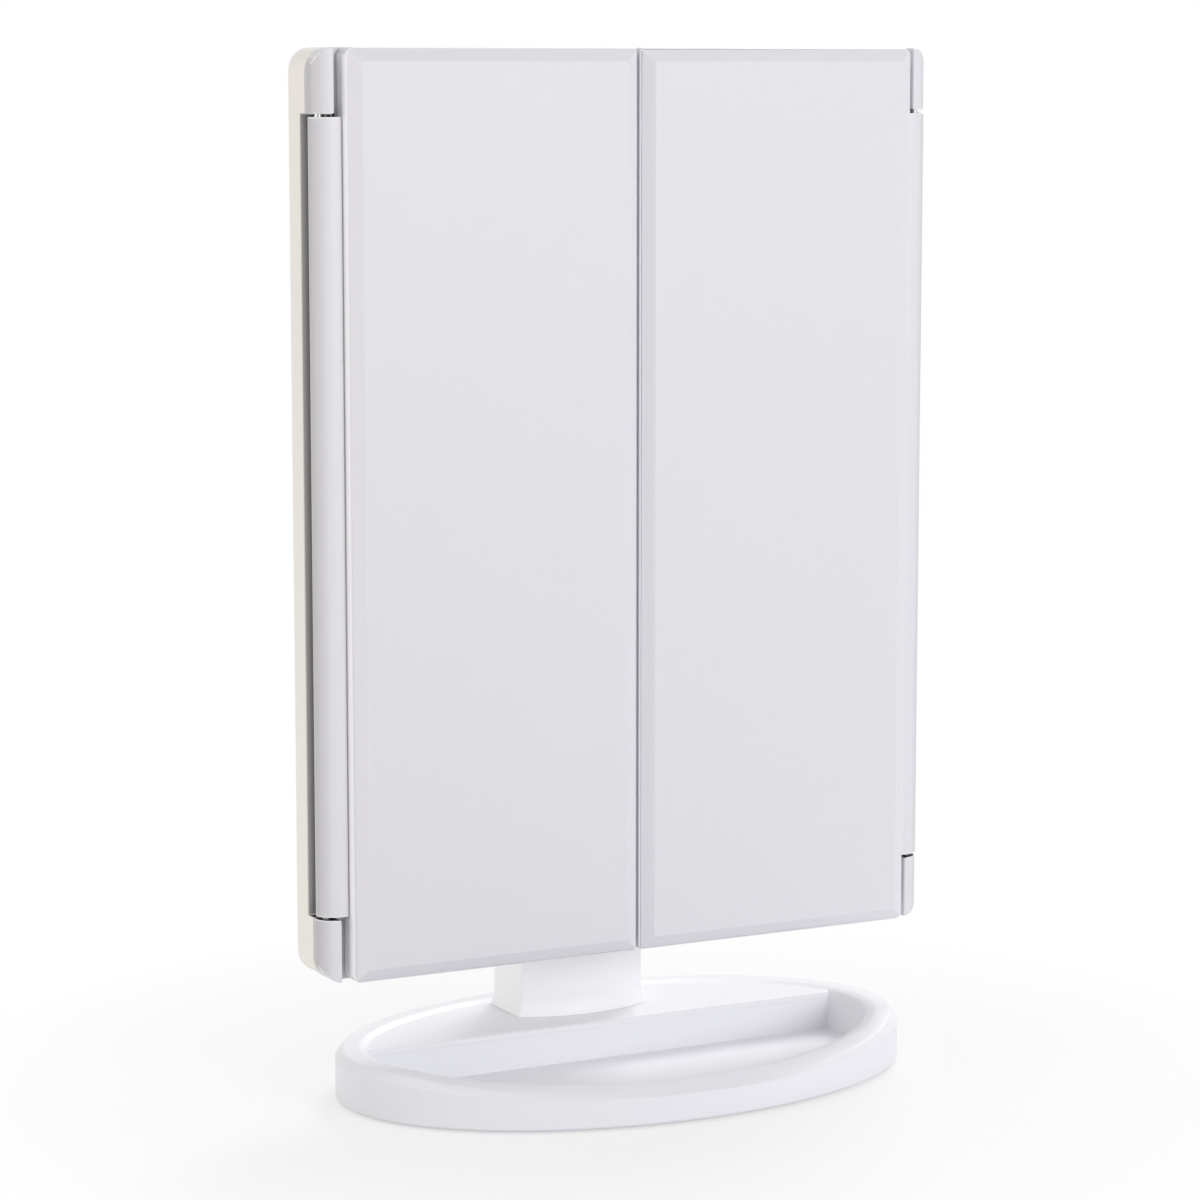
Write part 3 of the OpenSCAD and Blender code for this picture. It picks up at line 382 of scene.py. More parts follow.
def solids_in(node):
    """The lowest and highest corners of each separate solid in a CAD node, in a steady order."""
    mesh = bmesh.new()
    mesh.from_mesh(frame["nodes"][node].data)
    bmesh.ops.remove_doubles(mesh, verts=mesh.verts, dist=SAME_PLACE)
    left, boxes = set(mesh.verts), []
    while left:
        group, edge = set(), {left.pop()}
        while edge:
            group |= edge
            edge = {end for v in edge for e in v.link_edges for end in e.verts} - group
        left -= group
        boxes.append(box_round(group))
    mesh.free()
    return sorted(boxes, key=lambda box: [round(c, 5) for c in box[0]])


def paint(piece, material, test=None):
    """Puts a material on the whole piece, or on the faces that pass a test."""
    if test is None:
        piece.data.materials.clear()
        piece.data.materials.append(material)
        return
    if material.name not in piece.data.materials:
        piece.data.materials.append(material)
    with Editing(piece) as edit:
        edit.pick(test)
        piece.active_material_index = piece.data.materials.find(material.name)
        bpy.ops.object.material_slot_assign()


def fitted(piece, slot, *nodes, body=None, smooth=40):
    """Shades a finished piece, hangs it on its body and lets it stand for its CAD nodes."""
    only(piece)
    bpy.ops.object.shade_smooth_by_angle(angle=radians(smooth))
    modified(piece, "WEIGHTED_NORMAL", keep_sharp=True, weight=100)
    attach(piece, body or body_of(nodes[0]))
    if nodes:
        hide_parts(*nodes)
    return piece


def softened(node, name, width, material, segments=3):
    """A CAD piece with the small radius that its mould or its die leaves on every edge."""
    piece = copy_of_node(node, name)
    round_edges(piece, width, segments)
    paint(piece, material)
    return piece


def moulded(node, name, width, material, slot, segments=3):
    return fitted(softened(node, name, width, material, segments), slot, node)


# ---------- Shader nodes ----------

class Value:
    """A socket of a shader node. Sums and products of values add Math nodes."""

    def __init__(self, nodes, socket):
        self.nodes = nodes
        self.socket = socket

    def maths(self, operation, first, second):
        return self.nodes.add("ShaderNodeMath", {"operation": operation}, {0: first, 1: second})

    def __add__(self, other):
        return self.maths("ADD", self, other)

    def __sub__(self, other):
        return self.maths("SUBTRACT", self, other)

    def __rsub__(self, other):
        return self.maths("SUBTRACT", other, self)

    def __mul__(self, other):
        return self.maths("MULTIPLY", self, other)

    def __gt__(self, other):
        return self.maths("GREATER_THAN", self, other)

    def __lt__(self, other):
        return self.maths("LESS_THAN", self, other)


class Nodes:
    """The shader nodes of a material or of the world."""

    def __init__(self, owner):
        owner.use_nodes = True
        self.tree = owner.node_tree
        kind = "World" if isinstance(owner, bpy.types.World) else "Material"
        self.ending = f"ShaderNodeOutput{kind}"
        self.tree.nodes.clear()

    def add(self, kind, settings=None, inputs=None, output=0):
        """A node with its settings, its sockets' values or links, and the output that is wanted."""
        node = self.tree.nodes.new(kind)
        for key, value in (settings or {}).items():
            if key == "stops":
                self.set_stops(node.color_ramp, value)
            else:
                setattr(node, key, value)
        for key, value in (inputs or {}).items():
            if isinstance(value, Value):
                self.tree.links.new(value.socket, node.inputs[key])
            else:
                node.inputs[key].default_value = value
        return Value(self, node.outputs[output])

    @staticmethod
    def set_stops(ramp, stops):
        while len(ramp.elements) < len(stops):
            ramp.elements.new(1.0)
        for element, (place, level) in zip(ramp.elements, stops):
            element.position = place
            element.color = (level, level, level, 1.0)

    def place(self, scale=(1, 1, 1)):
        at = self.add("ShaderNodeTexCoord", output="Object")
        return self.add("ShaderNodeMapping", None, {"Vector": at, "Scale": scale})

    def axis(self, name):
        at = self.add("ShaderNodeTexCoord", output="Object")
        return self.add("ShaderNodeSeparateXYZ", None, {0: at}, output=name)

    def noise(self, scale, detail=2.0, stretch=(1, 1, 1)):
        return self.add("ShaderNodeTexNoise", None,
                        {"Vector": self.place(stretch), "Scale": scale, "Detail": detail})

    def ramp(self, value, *stops):
        return self.add("ShaderNodeValToRGB", {"stops": stops}, {0: value})

    def between(self, low, high, share):
        return share * (high - low) + low

    def mix(self, share, first, second):
        ends = [end if isinstance(end, Value) else (*end[:3], 1.0) for end in (first, second)]
        return self.add("ShaderNodeMix", {"data_type": "RGBA"}, {0: share, 6: ends[0], 7: ends[1]}, output=2)

    def bump(self, height, depth):
        return self.add("ShaderNodeBump", None, {"Height": height, "Strength": 1.0, "Distance": depth})

    def surface(self, **inputs):
        """The Principled shader. Its sockets are named with _ for a space."""
        named_inputs = {key.replace("_", " "): value for key, value in inputs.items()}
        self.end(self.add("ShaderNodeBsdfPrincipled", None, named_inputs))

    def skin(self, tone, colours, grain, roughness, depth, **more):
        """A surface whose colour follows one pattern, and its roughness and its relief another."""
        self.surface(Base_Color=self.mix(tone, *colours), Roughness=self.between(*roughness, grain),
                     Normal=self.bump(grain, depth), **more)

    def share(self, value):
        return self.add("ShaderNodeClamp", None, {"Value": value})

    def end(self, shader):
        node = self.tree.nodes.new(self.ending)
        self.tree.links.new(shader.socket, node.inputs["Surface"])

    def seen(self):
        """1 where the camera, a reflection or glass looks at it, 0 where it only gives light."""
        rays = [self.add("ShaderNodeLightPath", output=f"Is {kind} Ray")
                for kind in ("Camera", "Glossy", "Transmission")]
        return self.share(rays[0] + rays[1] + rays[2])


def shade(colour, share):
    return tuple(c * share for c in colour)


# ---------- Finishes ----------

FINISHES = {}


def finish_named(build):
    """Makes a finish once, under its own name, and hands it out again after that."""
    def get(name, *colours):
        key = f"{build.__name__}_{name}"
        if key not in FINISHES:
            material = bpy.data.materials.new(key)
            build(Nodes(material), *colours)
            FINISHES[key] = material
        return FINISHES[key]
    return get


@finish_named
def satin_plastic(n, colour, gloss=0.42):
    """Moulded plastic: faint flow marks, a spark-eroded grain and a satin skin."""
    flow = n.noise(11.0, 3.0, (1.0, 1.0, 0.35))
    grain = n.noise(4200.0, 3.0)
    n.surface(
        Base_Color=n.mix(flow, shade(colour, 0.985), shade(colour, 1.01)),
        Roughness=n.between(gloss - 0.05, gloss + 0.07, flow * 0.6 + grain * 0.4),
        Normal=n.bump(grain, 0.012 * MM),
        IOR=1.46,
    )


def smeared_silver(n):
    """Where the glass has its faint smears, and the colour of the silver behind them."""
    smear = n.ramp(n.noise(38.0, 4.0, (1.0, 1.0, 0.4)), (0.45, 0.0), (0.75, 1.0))
    return smear, n.mix(smear, (0.86, 0.88, 0.88), (0.82, 0.84, 0.845))


@finish_named
def mirror_silver(n):
    """Silvered glass, with the faintest smears."""
    smear, silver = smeared_silver(n)
    n.surface(Base_Color=silver, Metallic=1.0, Roughness=n.between(0.008, 0.03, smear))


@finish_named
def touch_silver(n, middle_z):
    """Silvered glass with a frosted power sign over the touch sensor."""
    x, z = n.axis("X"), n.axis("Z") - middle_z
    away = x * x + z * z
    ring = (away > (3.1 * MM) ** 2) * (away < (3.6 * MM) ** 2)
    opening = (x * x < (1.0 * MM) ** 2) * (z > 0.0)
    bar = (x * x < (0.25 * MM) ** 2) * (z > 0.8 * MM) * (z < 4.6 * MM)
    sign = n.share(ring - ring * opening + bar)
    silver = smeared_silver(n)[1]
    n.surface(Base_Color=n.mix(sign, silver, (0.62, 0.66, 0.70)), Metallic=n.between(1.0, 0.2, sign),
              Roughness=n.between(0.012, 0.5, sign))


@finish_named
def ground_glass(n):
    """The cut and ground edge of a glass plate, greenish and matt."""
    grind = n.noise(2600.0, 2.0, (1.0, 1.0, 0.2))
    n.skin(grind, ((0.40, 0.53, 0.49), (0.55, 0.68, 0.64)), grind, (0.28, 0.5), 0.02 * MM)


@finish_named
def backing_paint(n):
    """Grey paint over the silver of a mirror's back."""
    peel = n.noise(900.0, 3.0)
    n.skin(peel, ((0.20, 0.205, 0.215), (0.25, 0.255, 0.265)), peel, (0.45, 0.6), 0.01 * MM)


@finish_named
def milky_acrylic(n, colour):
    """Light-spreading acrylic with a fine frost."""
    n.skin(n.noise(60.0, 2.0), (shade(colour, 0.975), colour), n.noise(5200.0, 2.0), (0.4, 0.52),
           0.012 * MM, Coat_Weight=0.15, Coat_Roughness=0.2)


@finish_named
def plated_steel(n, colour):
    """Nickel-plated steel: fine turning lines and small stains."""
    lines = n.noise(1500.0, 2.0, (1.0, 1.0, 5.0))
    stain = n.noise(240.0, 4.0)
    n.surface(Base_Color=n.mix(stain, shade(colour, 0.82), colour), Metallic=1.0,
              Roughness=n.between(0.2, 0.42, lines * 0.5 + stain * 0.5), Normal=n.bump(lines, 0.008 * MM))


@finish_named
def circuit_board(n, colour):
    """Solder mask over copper tracks on a glass-fibre board."""
    tracks = n.add("ShaderNodeTexBrick", {"offset": 0.37, "squash": 0.6, "squash_frequency": 3}, {
        "Vector": n.place(), "Scale": 210.0, "Mortar Size": 0.035, "Mortar Smooth": 0.3,
        "Brick Width": 1.3, "Row Height": 0.45}, output="Fac")
    weave = n.noise(2400.0, 2.0)
    n.surface(Base_Color=n.mix(tracks, n.mix(weave, shade(colour, 0.85), colour), shade(colour, 1.8)),
              Roughness=n.between(0.26, 0.4, weave), Normal=n.bump(tracks + weave * 0.2, 0.03 * MM),
              Coat_Weight=0.3, Coat_Roughness=0.1)


@finish_named
def board_lacquer(n, colour):
    """White lacquer over an aluminium light strip."""
    grain = n.noise(1200.0, 3.0)
    n.skin(grain, (shade(colour, 0.94), colour), grain, (0.3, 0.46), 0.008 * MM)


@finish_named
def phosphor(n, colour):
    """The yellow gel over a light's chip."""
    gel = n.noise(900.0, 2.0)
    n.skin(gel, (shade(colour, 0.85), colour), gel, (0.12, 0.3), 0.02 * MM, Coat_Weight=0.5,
           Coat_Roughness=0.08)


@finish_named
def dark_plastic(n, colour):
    """Black plastic with a leather-fine grain. Nearly black, it is also the painted shadow in the hinge gaps.
    """
    cells = n.add("ShaderNodeTexVoronoi", None, {"Vector": n.place(), "Scale": 2600.0})
    n.skin(n.noise(90.0, 2.0), (shade(colour, 0.8), shade(colour, 1.25)), cells, (0.36, 0.55), 0.02 * MM)


@finish_named
def turned_edge(n, colour, side):
    """Satin plastic with painted shade: it is darker where the hinge's round edge turns to the side."""
    x = n.axis("X")
    past = n.share((x * x - (side - 3.2 * MM) ** 2) * (1 / (6.4 * MM * side)))
    n.skin(past, (colour, shade(colour, 0.74)), n.noise(4200.0, 3.0), (0.37, 0.49), 0.012 * MM, IOR=1.46)


@finish_named
def gap_liner(n, colour, dark, outer, inner):
    """Casing plastic with painted shade that darkens inwards, where a wing's barrel keeps the light out of
    its notch.
    """
    x = n.axis("X")
    depth = n.share((outer ** 2 - x * x) * (1.0 / (outer ** 2 - inner ** 2)))
    n.skin(depth, (colour, dark), n.noise(2400.0, 3.0), (0.5, 0.65), 0.012 * MM)


@finish_named
def soft_rubber(n, colour):
    """Matt rubber with dust in its pores."""
    dust = n.ramp(n.noise(420.0, 4.0), (0.5, 0.0), (0.8, 1.0))
    n.skin(dust * 0.5, (colour, shade(colour, 2.2)), n.noise(1700.0, 5.0), (0.7, 0.92), 0.04 * MM,
           Sheen_Weight=0.1)


@finish_named
def foil_sleeve(n, colour):
    """Printed shrink foil, tight over a metal can."""
    n.skin(n.noise(160.0, 2.0, (1.0, 1.0, 0.15)), (shade(colour, 0.9), shade(colour, 1.08)),
           n.noise(700.0, 2.0, (1.0, 1.0, 0.4)), (0.2, 0.34), 0.012 * MM, Metallic=0.55,
           Coat_Weight=0.6, Coat_Roughness=0.12)


@finish_named
def wire_sleeve(n, colour):
    """Soft vinyl on stranded wire, with the strands' twist showing faintly."""
    twist = n.add("ShaderNodeTexWave", {"bands_direction": "DIAGONAL"}, {
        "Vector": n.place(), "Scale": 420.0, "Distortion": 1.5})
    n.skin(twist, (shade(colour, 0.88), colour), twist, (0.34, 0.5), 0.02 * MM)


# ---------- Sizes and colours ----------

def length(name, description, default, low, high):
    return FloatProperty(name=name, description=description, default=default * MM, min=low * MM,
                         max=high * MM, unit="LENGTH", precision=5)


def colour(name, description, default):
    return FloatVectorProperty(name=name, description=description, default=default, subtype="COLOR",
                               size=3, min=0.0, max=1.0)


class MirrorSizes(bpy.types.PropertyGroup):
    """Sizes that the looks add to the CAD model's own."""
    shell_edge: length("Shell edge", "Radius on the edges of the large mouldings", 0.35, 0.1, 0.5)
    trim_edge: length("Trim edge", "Radius on the edges of the small mouldings", 0.22, 0.05, 0.3)
    glass_edge: length("Glass edge", "Width of the ground edge round each mirror plate", 0.3, 0.1, 0.5)
    deck_round: length("Deck round", "Radius where the deck turns down into the tray", 1.3, 0.4, 2.0)
    neck_corner: length("Neck corner", "Radius of the neck's upright corners", 1.0, 0.4, 2.0)
    oval_points: IntProperty(name="Oval points", description="Points round the oval base", default=192,
                             min=64, max=384)


class MirrorColours(bpy.types.PropertyGroup):
    """Colours of the plastics and trims."""
    wings: colour("Wings", "Plastic of the wings and the centre unit", (0.75, 0.742, 0.775))
    # Edges: a lighter colour on the rounded edges, a painted highlight
    edges: colour("Edges", "Painted highlight on the edges of the wings and the front frame", (0.93, 0.925, 0.95))
    # Painted shadow: a nearly black colour on the faces in the hinge gaps, where only shade falls
    liner: colour("Gap liner", "Dark liner of the gaps round the hinge barrels", (0.03, 0.029, 0.03))
    marks: colour("Switch marks", "Ink of the bar and the ring beside the switch", (0.42, 0.42, 0.43))
    casing: colour("Casing", "Warmer plastic of the rear casing", (0.90, 0.88, 0.83))
    base: colour("Base", "Plastic of the oval base", (0.85, 0.852, 0.89))
    neck: colour("Neck", "Plastic of the neck", (0.93, 0.935, 0.965))
    inside: colour("Inside", "Plastic of the inner frames", (0.80, 0.80, 0.81))
    diffuser: colour("Diffusers", "Acrylic over the lights", (0.88, 0.88, 0.85))
    steel: colour("Steel", "Plated screws, pins and contacts", (0.62, 0.62, 0.64))
    board: colour("Circuit board", "Solder mask of the control board", (0.012, 0.12, 0.05))
    strip: colour("Light strips", "Lacquer of the two light boards", (0.84, 0.84, 0.82))
    gel: colour("Light gel", "Gel over each light's chip", (0.86, 0.62, 0.08))
    black: colour("Black plastic", "Switch, socket and chips", (0.022, 0.022, 0.024))
    rubber: colour("Rubber", "Feet and friction washers", (0.03, 0.03, 0.031))
    cell: colour("Cell sleeve", "Main part of the battery cells' sleeves", (0.06, 0.22, 0.34))
    cell_band: colour("Cell band", "Band at the cells' plus end", (0.72, 0.73, 0.74))
    lead_red: colour("Battery leads", "Sleeves of the battery leads", (0.48, 0.02, 0.016))
    lead_black: colour("Light leads", "Sleeves of the light boards' leads", (0.02, 0.02, 0.022))


class StudioLight(bpy.types.PropertyGroup):
    """Light and camera of the studio."""
    front: FloatProperty(name="Front", description="Power of the soft front light", default=14.5, min=0.0)
    back: FloatProperty(name="Back", description="Power of the light from above and behind", default=15.0,
                        min=0.0)
    left: FloatProperty(name="Left", description="Power of the warm fill from the left", default=6.5,
                        min=0.0)
    room: FloatProperty(name="Room", description="Strength of the even light all round", default=0.57,
                        min=0.0)
    lens: FloatProperty(name="Lens", description="Focal length of the camera", default=114.7, min=20.0,
                        unit="CAMERA")


def sizes():
    return bpy.context.scene.mirror_sizes


def colours():
    return bpy.context.scene.mirror_colours


# ---------- Operators ----------

class Maker(bpy.types.Operator):
    """What the operators of this file share."""
    bl_options = {"REGISTER", "UNDO"}

    def execute(self, context):
        self.make()
        return {"FINISHED"}


class MIRROR_OT_studio(Maker):
    """Sets up the white floor, the soft lights and the camera"""
    bl_idname = "mirror.studio"
    bl_label = "Studio"
    camera_place = (-0.4792, -0.9065, 0.2756)
    camera_turn = (radians(90 - 7.973), 0.0, radians(-27.526))
    aim = Vector((0, 0, 0.15))
    lamps = (("front", (0.6, -1.85, 0.6), 0.9, (1.0, 1.0, 1.0)),
             ("back", (1.1, 1.0, 1.3), 0.9, (1.0, 1.0, 1.0)),
             ("left", (-1.7, 0.1, 0.45), 0.7, (1.0, 0.94, 0.82)))

    def make(self):
        scene = bpy.context.scene
        light = scene.mirror_studio
        scene.world = bpy.data.worlds.new("white_room")
        n = Nodes(scene.world)
        seen = n.seen()
        n.end(n.add("ShaderNodeBackground", None, {
            "Color": n.mix(seen, (0.985, 0.98, 1.0), (1.0, 1.0, 1.0)),
            "Strength": n.between(light.room, 1.0, seen)}))
        self.floor()
        for lamp in self.lamps:
            self.lamp(*lamp)
        data = bpy.data.cameras.new("camera")
        data.sensor_width = 36.0  # the lens belongs to it
        data.lens = light.lens
        camera = bpy.data.objects.new("camera", data)
        scene.collection.objects.link(camera)
        camera.location = self.camera_place
        camera.rotation_euler = self.camera_turn
        scene.camera = camera
        scene.view_settings.view_transform = "Standard"

    def floor(self):
        bpy.ops.object.select_all(action="DESELECT")
        bpy.ops.mesh.primitive_circle_add(vertices=96, radius=6.0, fill_type="NGON")
        floor = named("floor")
        material = bpy.data.materials.new("white_floor")
        n = Nodes(material)
        seen = n.seen()
        paper = n.add("ShaderNodeBsdfDiffuse", None, {
            "Color": n.mix(seen, (0.80, 0.80, 0.815), (0.90, 0.90, 0.90))})
        white = n.add("ShaderNodeEmission", None, {"Color": (1.0, 1.0, 1.0, 1.0), "Strength": 1.0})
        x, y = n.axis("X"), n.axis("Y")
        away = n.share((x * x + y * y) * 12.0 + 0.55)
        n.end(n.add("ShaderNodeMixShader", None, {0: away * seen, 1: paper, 2: white}))
        paint(floor, material)

    def lamp(self, side, place, size, tint):
        """A round soft light that looks at the mirror, with the power that is set for its side."""
        data = bpy.data.lights.new(f"{side}_light", "AREA")
        data.shape = "DISK"
        data.size = size
        data.energy = getattr(bpy.context.scene.mirror_studio, side)
        data.color = tint
        lamp = bpy.data.objects.new(data.name, data)
        bpy.context.scene.collection.objects.link(lamp)
        lamp.location = place
        lamp.rotation_euler = (self.aim - Vector(place)).to_track_quat("-Z", "Y").to_euler()


class MIRROR_OT_shells(Maker):
    """Models the mouldings of the centre unit: its casing, its front frame, its doors and caps"""
    bl_idname = "mirror.shells"
    bl_label = "Centre unit"
    pin_length, notch_depth, step_depth = 10 * MM, 3.5 * MM, 2 * MM

    def make(self):
        c = colours()
        warm, cool = satin_plastic("casing", c.casing), satin_plastic("wings", c.wings)
        # The lighter edge plastic is a painted highlight on the rounded edges
        highlight = satin_plastic("edges", c.edges)
        casing = copy_of_node("rear_casing", "casing_shell")
        paint(casing, warm)
        self.line_notches(casing)
        self.line_step(casing)
        round_edges(casing, sizes().shell_edge, finish=warm, spare=0.0002)
        fitted(casing, "shell_white", "rear_casing")
        front = copy_of_node("front_frame", "front_moulding")
        paint(front, cool)
        # Painted shade: the posts darken as their round edge turns to the side
        paint(front, turned_edge("hinges", c.wings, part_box("front_frame")[1].x),
              lambda at, facing: abs(at.x) > BARREL and at.y < -0.5 * MM and abs(facing.z) < 0.5)
        self.line_notches(front)
        # The rounded edges get the lighter plastic, a painted highlight
        round_edges(front, sizes().trim_edge, finish=highlight)
        fitted(front, "shell_white", "front_frame")
        self.battery_door(warm)
        moulded("hinge_caps", "tilt_caps", sizes().trim_edge, warm, "shell_white")
        self.switch_marks(satin_plastic("marks", c.marks))

    def in_notch(self, at):
        """Whether a place is behind a wing's barrel or at the ends of the posts above and below it."""
        pin_low, pin_high = self.pins
        return pin_low.z + self.pin_length < at.z < pin_high.z - self.pin_length and at.y < self.notch_depth

    def line_notches(self, piece):
        """Paints shadow, nearly black, on the inner wall and the ends of the notches for the wings' barrels.
        """
        self.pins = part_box("hinge_pins_right")

        def deep(at, facing):
            wall = NOTCH - MM < abs(at.x) < NOTCH and abs(facing.x) > 0.9
            end = abs(at.x) > NOTCH and abs(facing.z) > 0.9
            return self.in_notch(at) and (wall or end)

        # Painted shadow on the notch walls and ends
        paint(piece, dark_plastic("liner", colours().liner), deep)

    def line_step(self, casing):
        """Paints shade on the casing's step behind the barrels, darker and darker inwards."""
        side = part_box("rear_casing")[1].x
        # Painted shade: the step darkens towards the inside of the notch
        finish = gap_liner("step", shade(colours().casing, 0.88), (0.2, 0.195, 0.2), side, side - 2.8 * MM)
        paint(casing, finish, lambda at, facing: self.in_notch(at) and abs(at.x) > NOTCH
              and at.y > self.step_depth and facing.y < -0.9)

    def battery_door(self, finish):
        """The battery door, with an arrow sunk into it below its grip."""
        door = copy_of_node("battery_cover", "battery_door")
        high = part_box("battery_cover")[1]
        foot = middle_of("battery_cover").z - 10 * MM
        half, tall, sunk = 4 * MM, 6 * MM, 0.6 * MM
        cut(door, drawn_up("arrow", [[(x, y, foot + z) for x, z in ((-half, 0), (half, 0), (0, tall))]
                                     for y in (high.y - sunk, high.y + MM)]))
        round_edges(door, 0.12 * MM, 2)
        paint(door, finish)
        paint(door, satin_plastic("marks", colours().marks),
              lambda at, facing: facing.y > 0.9 and abs(at.x) < half and at.y < high.y - sunk + 0.1 * MM
              and foot < at.z < foot + tall)
        fitted(door, "shell_white", "battery_cover")

    def switch_marks(self, finish):
        """A raised bar and a raised ring on the back beside the switch."""
        at = middle_of("switch_case")
        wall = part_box("usb_socket")[1].y + 0.4 * MM
        foot, top = wall - 0.1 * MM, wall + 0.2 * MM
        bar_x, ring_x = at.x + 7.5 * MM, at.x - 8 * MM
        bar = block("switch_marks", (bar_x - 0.3 * MM, foot, at.z - 1.5 * MM),
                    (bar_x + 0.3 * MM, top, at.z + 1.5 * MM))
        ring = rod("ring", 1.6 * MM, (ring_x, foot, at.z), (ring_x, top, at.z))
        cut(ring, rod("hole", 1.05 * MM, (ring_x, 0, at.z), (ring_x, 0.1, at.z)))
        marks = joined("switch_marks", [bar, ring])
        round_edges(marks, 0.06 * MM, 2)
        paint(marks, finish)
        fitted(marks, "shell_white", body="head")


class MIRROR_OT_wings(Maker):
    """Models both wings: their covers with the bevelled backs and hinge barrels, and their inner frames"""
    bl_idname = "mirror.wings"
    bl_label = "Wings"

    def make(self):
        c = colours()
        # The lighter edge plastic is a painted highlight on the rounded edges
        white, highlight = satin_plastic("wings", c.wings), satin_plastic("edges", c.edges)
        # The band is the wing plastic a little lighter, painted light on the bevels; the other finish is
        # painted shadow for the gaps
        band, liner = satin_plastic("band", shade(c.wings, 1.03)), dark_plastic("liner", c.liner)
        face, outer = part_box("right_wing_cover")[0].y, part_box("right_wing_cover")[1].x
        bevel = face + 2.5 * MM
        for side in ("left", "right"):
            cover = copy_of_node(f"{side}_wing_cover", f"{side}_wing_shell")
            paint(cover, white)
            paint(cover, band, lambda at, facing: -0.9 < facing.y < -0.75 and at.y < bevel)
            # Painted shade: the barrel darkens as it turns to the side
            paint(cover, turned_edge("hinges", c.wings, outer),
                  lambda at, facing: abs(at.x) > BARREL and abs(facing.z) < 0.5)
            # Painted shadow on the barrel's ends, in the gaps beside the posts
            paint(cover, liner, lambda at, facing: abs(at.x) > NOTCH and abs(facing.z) > 0.9)
            # Painted light: the side wall seen in the gap beside the post gets the lighter edge plastic, to
            # lift its shade
            paint(cover, highlight, lambda at, facing: NOTCH - 1.5 * MM < abs(at.x) < NOTCH
                  and abs(facing.x) > 0.95)
            # The rounded edges get the lighter plastic, a painted highlight
            round_edges(cover, sizes().shell_edge, finish=highlight)
            # The shallow edges between face and bevel keep the lighter band colour, painted light
            paint(cover, band, lambda at, facing: -0.998 < facing.y < -0.85 and at.y < bevel)
            fitted(cover, "shell_white", f"{side}_wing_cover")
            moulded(f"{side}_wing_bezel", f"{side}_wing_frame", sizes().trim_edge,
                    satin_plastic("inside", c.inside), "inner_white")


class MIRROR_OT_mirrors(Maker):
    """Models the four mirror plates, two of them dished to magnify"""
    bl_idname = "mirror.mirrors"
    bl_label = "Mirrors"
    thick, corner, dish = 2.0 * MM, 1.5 * MM, 0.6 * MM

    def make(self):
        touch, silver = touch_silver("centre", middle_of("touch_pad").z), mirror_silver("plate")
        for node, name, finish, towards, dish in (
                ("centre_mirror", "centre_glass", touch, -1, 0.0),
                ("right_mirror", "right_glass", silver, 1, 0.0),
                ("magnifier_upper", "upper_magnifier", silver, 1, self.dish),
                ("magnifier_lower", "lower_magnifier", silver, 1, self.dish)):
            plate = self.plate(name, *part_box(node), towards, dish)
            paint(plate, ground_glass("edge"))
            paint(plate, finish, lambda at, facing: facing.y * towards > 0.99)
            paint(plate, backing_paint("back"), lambda at, facing: facing.y * towards < -0.99)
            fitted(plate, "mirror_glass", node)

    def plate(self, name, low, high, towards, dish):
        """A glass plate with ground edges whose face looks towards +Y or -Y and may be dished."""
        ground = sizes().glass_edge
        back = low.y if towards > 0 else high.y
        middle, half = (low + high) / 2, (high - low) / 2
        reach = hypot(half.x + 0.2 * MM, half.z + 0.2 * MM)

        def ring(inset, below=0.0, share=1.0, height=None):
            points = []
            for x, z in self.outline(half.x, half.z, inset):
                sunk = dish * (1 - (x * x + z * z) * share ** 2 / reach ** 2)
                lift = self.thick - sunk - below if height is None else height
                points.append((middle.x + x * share, back + towards * lift, middle.z + z * share))
            return points

        rings = [ring(ground / 2, height=0.0), ring(0.0, height=ground / 2), ring(0.0, below=ground * 0.6),
                 ring(ground)]
        if dish:
            rings += [ring(ground, share=step / 20) for step in range(19, 0, -1)]
        return drawn_up(name, rings)

    def outline(self, half_x, half_z, inset):
        """Points round a plate with round corners, close together along its sides."""
        radius, points, filled = self.corner, [], []
        for side_x, side_z, start in ((1, -1, -90), (1, 1, 0), (-1, 1, 90), (-1, -1, 180)):
            for step in range(7):
                turn = radians(start + 15 * step)
                points.append((side_x * (half_x - radius) + (radius - inset) * cos(turn),
                               side_z * (half_z - radius) + (radius - inset) * sin(turn)))
        for here, there in zip(points, points[1:] + points[:1]):
            long_side = hypot(there[0] - here[0], there[1] - here[1]) > 10 * MM
            parts = 20 if long_side else 1
            filled += [tuple(a + (b - a) * part / parts for a, b in zip(here, there))
                       for part in range(parts)]
        return filled


def resistor():
    """A small flat resistor with tinned ends, standing on y = 0."""
    body = block("resistor", (-0.7 * MM, 0, -0.6 * MM), (0.7 * MM, 0.5 * MM, 0.6 * MM))
    ends = [block("end", (x - 0.2 * MM, 0, -0.62 * MM), (x + 0.2 * MM, 0.54 * MM, 0.62 * MM))
            for x in (-0.85 * MM, 0.85 * MM)]
    paint(body, dark_plastic("black", colours().black))
    for end in ends:
        round_edges(end, 0.1 * MM, 2)
        paint(end, plated_steel("nickel", colours().steel))
    return joined("resistor", [body, *ends])


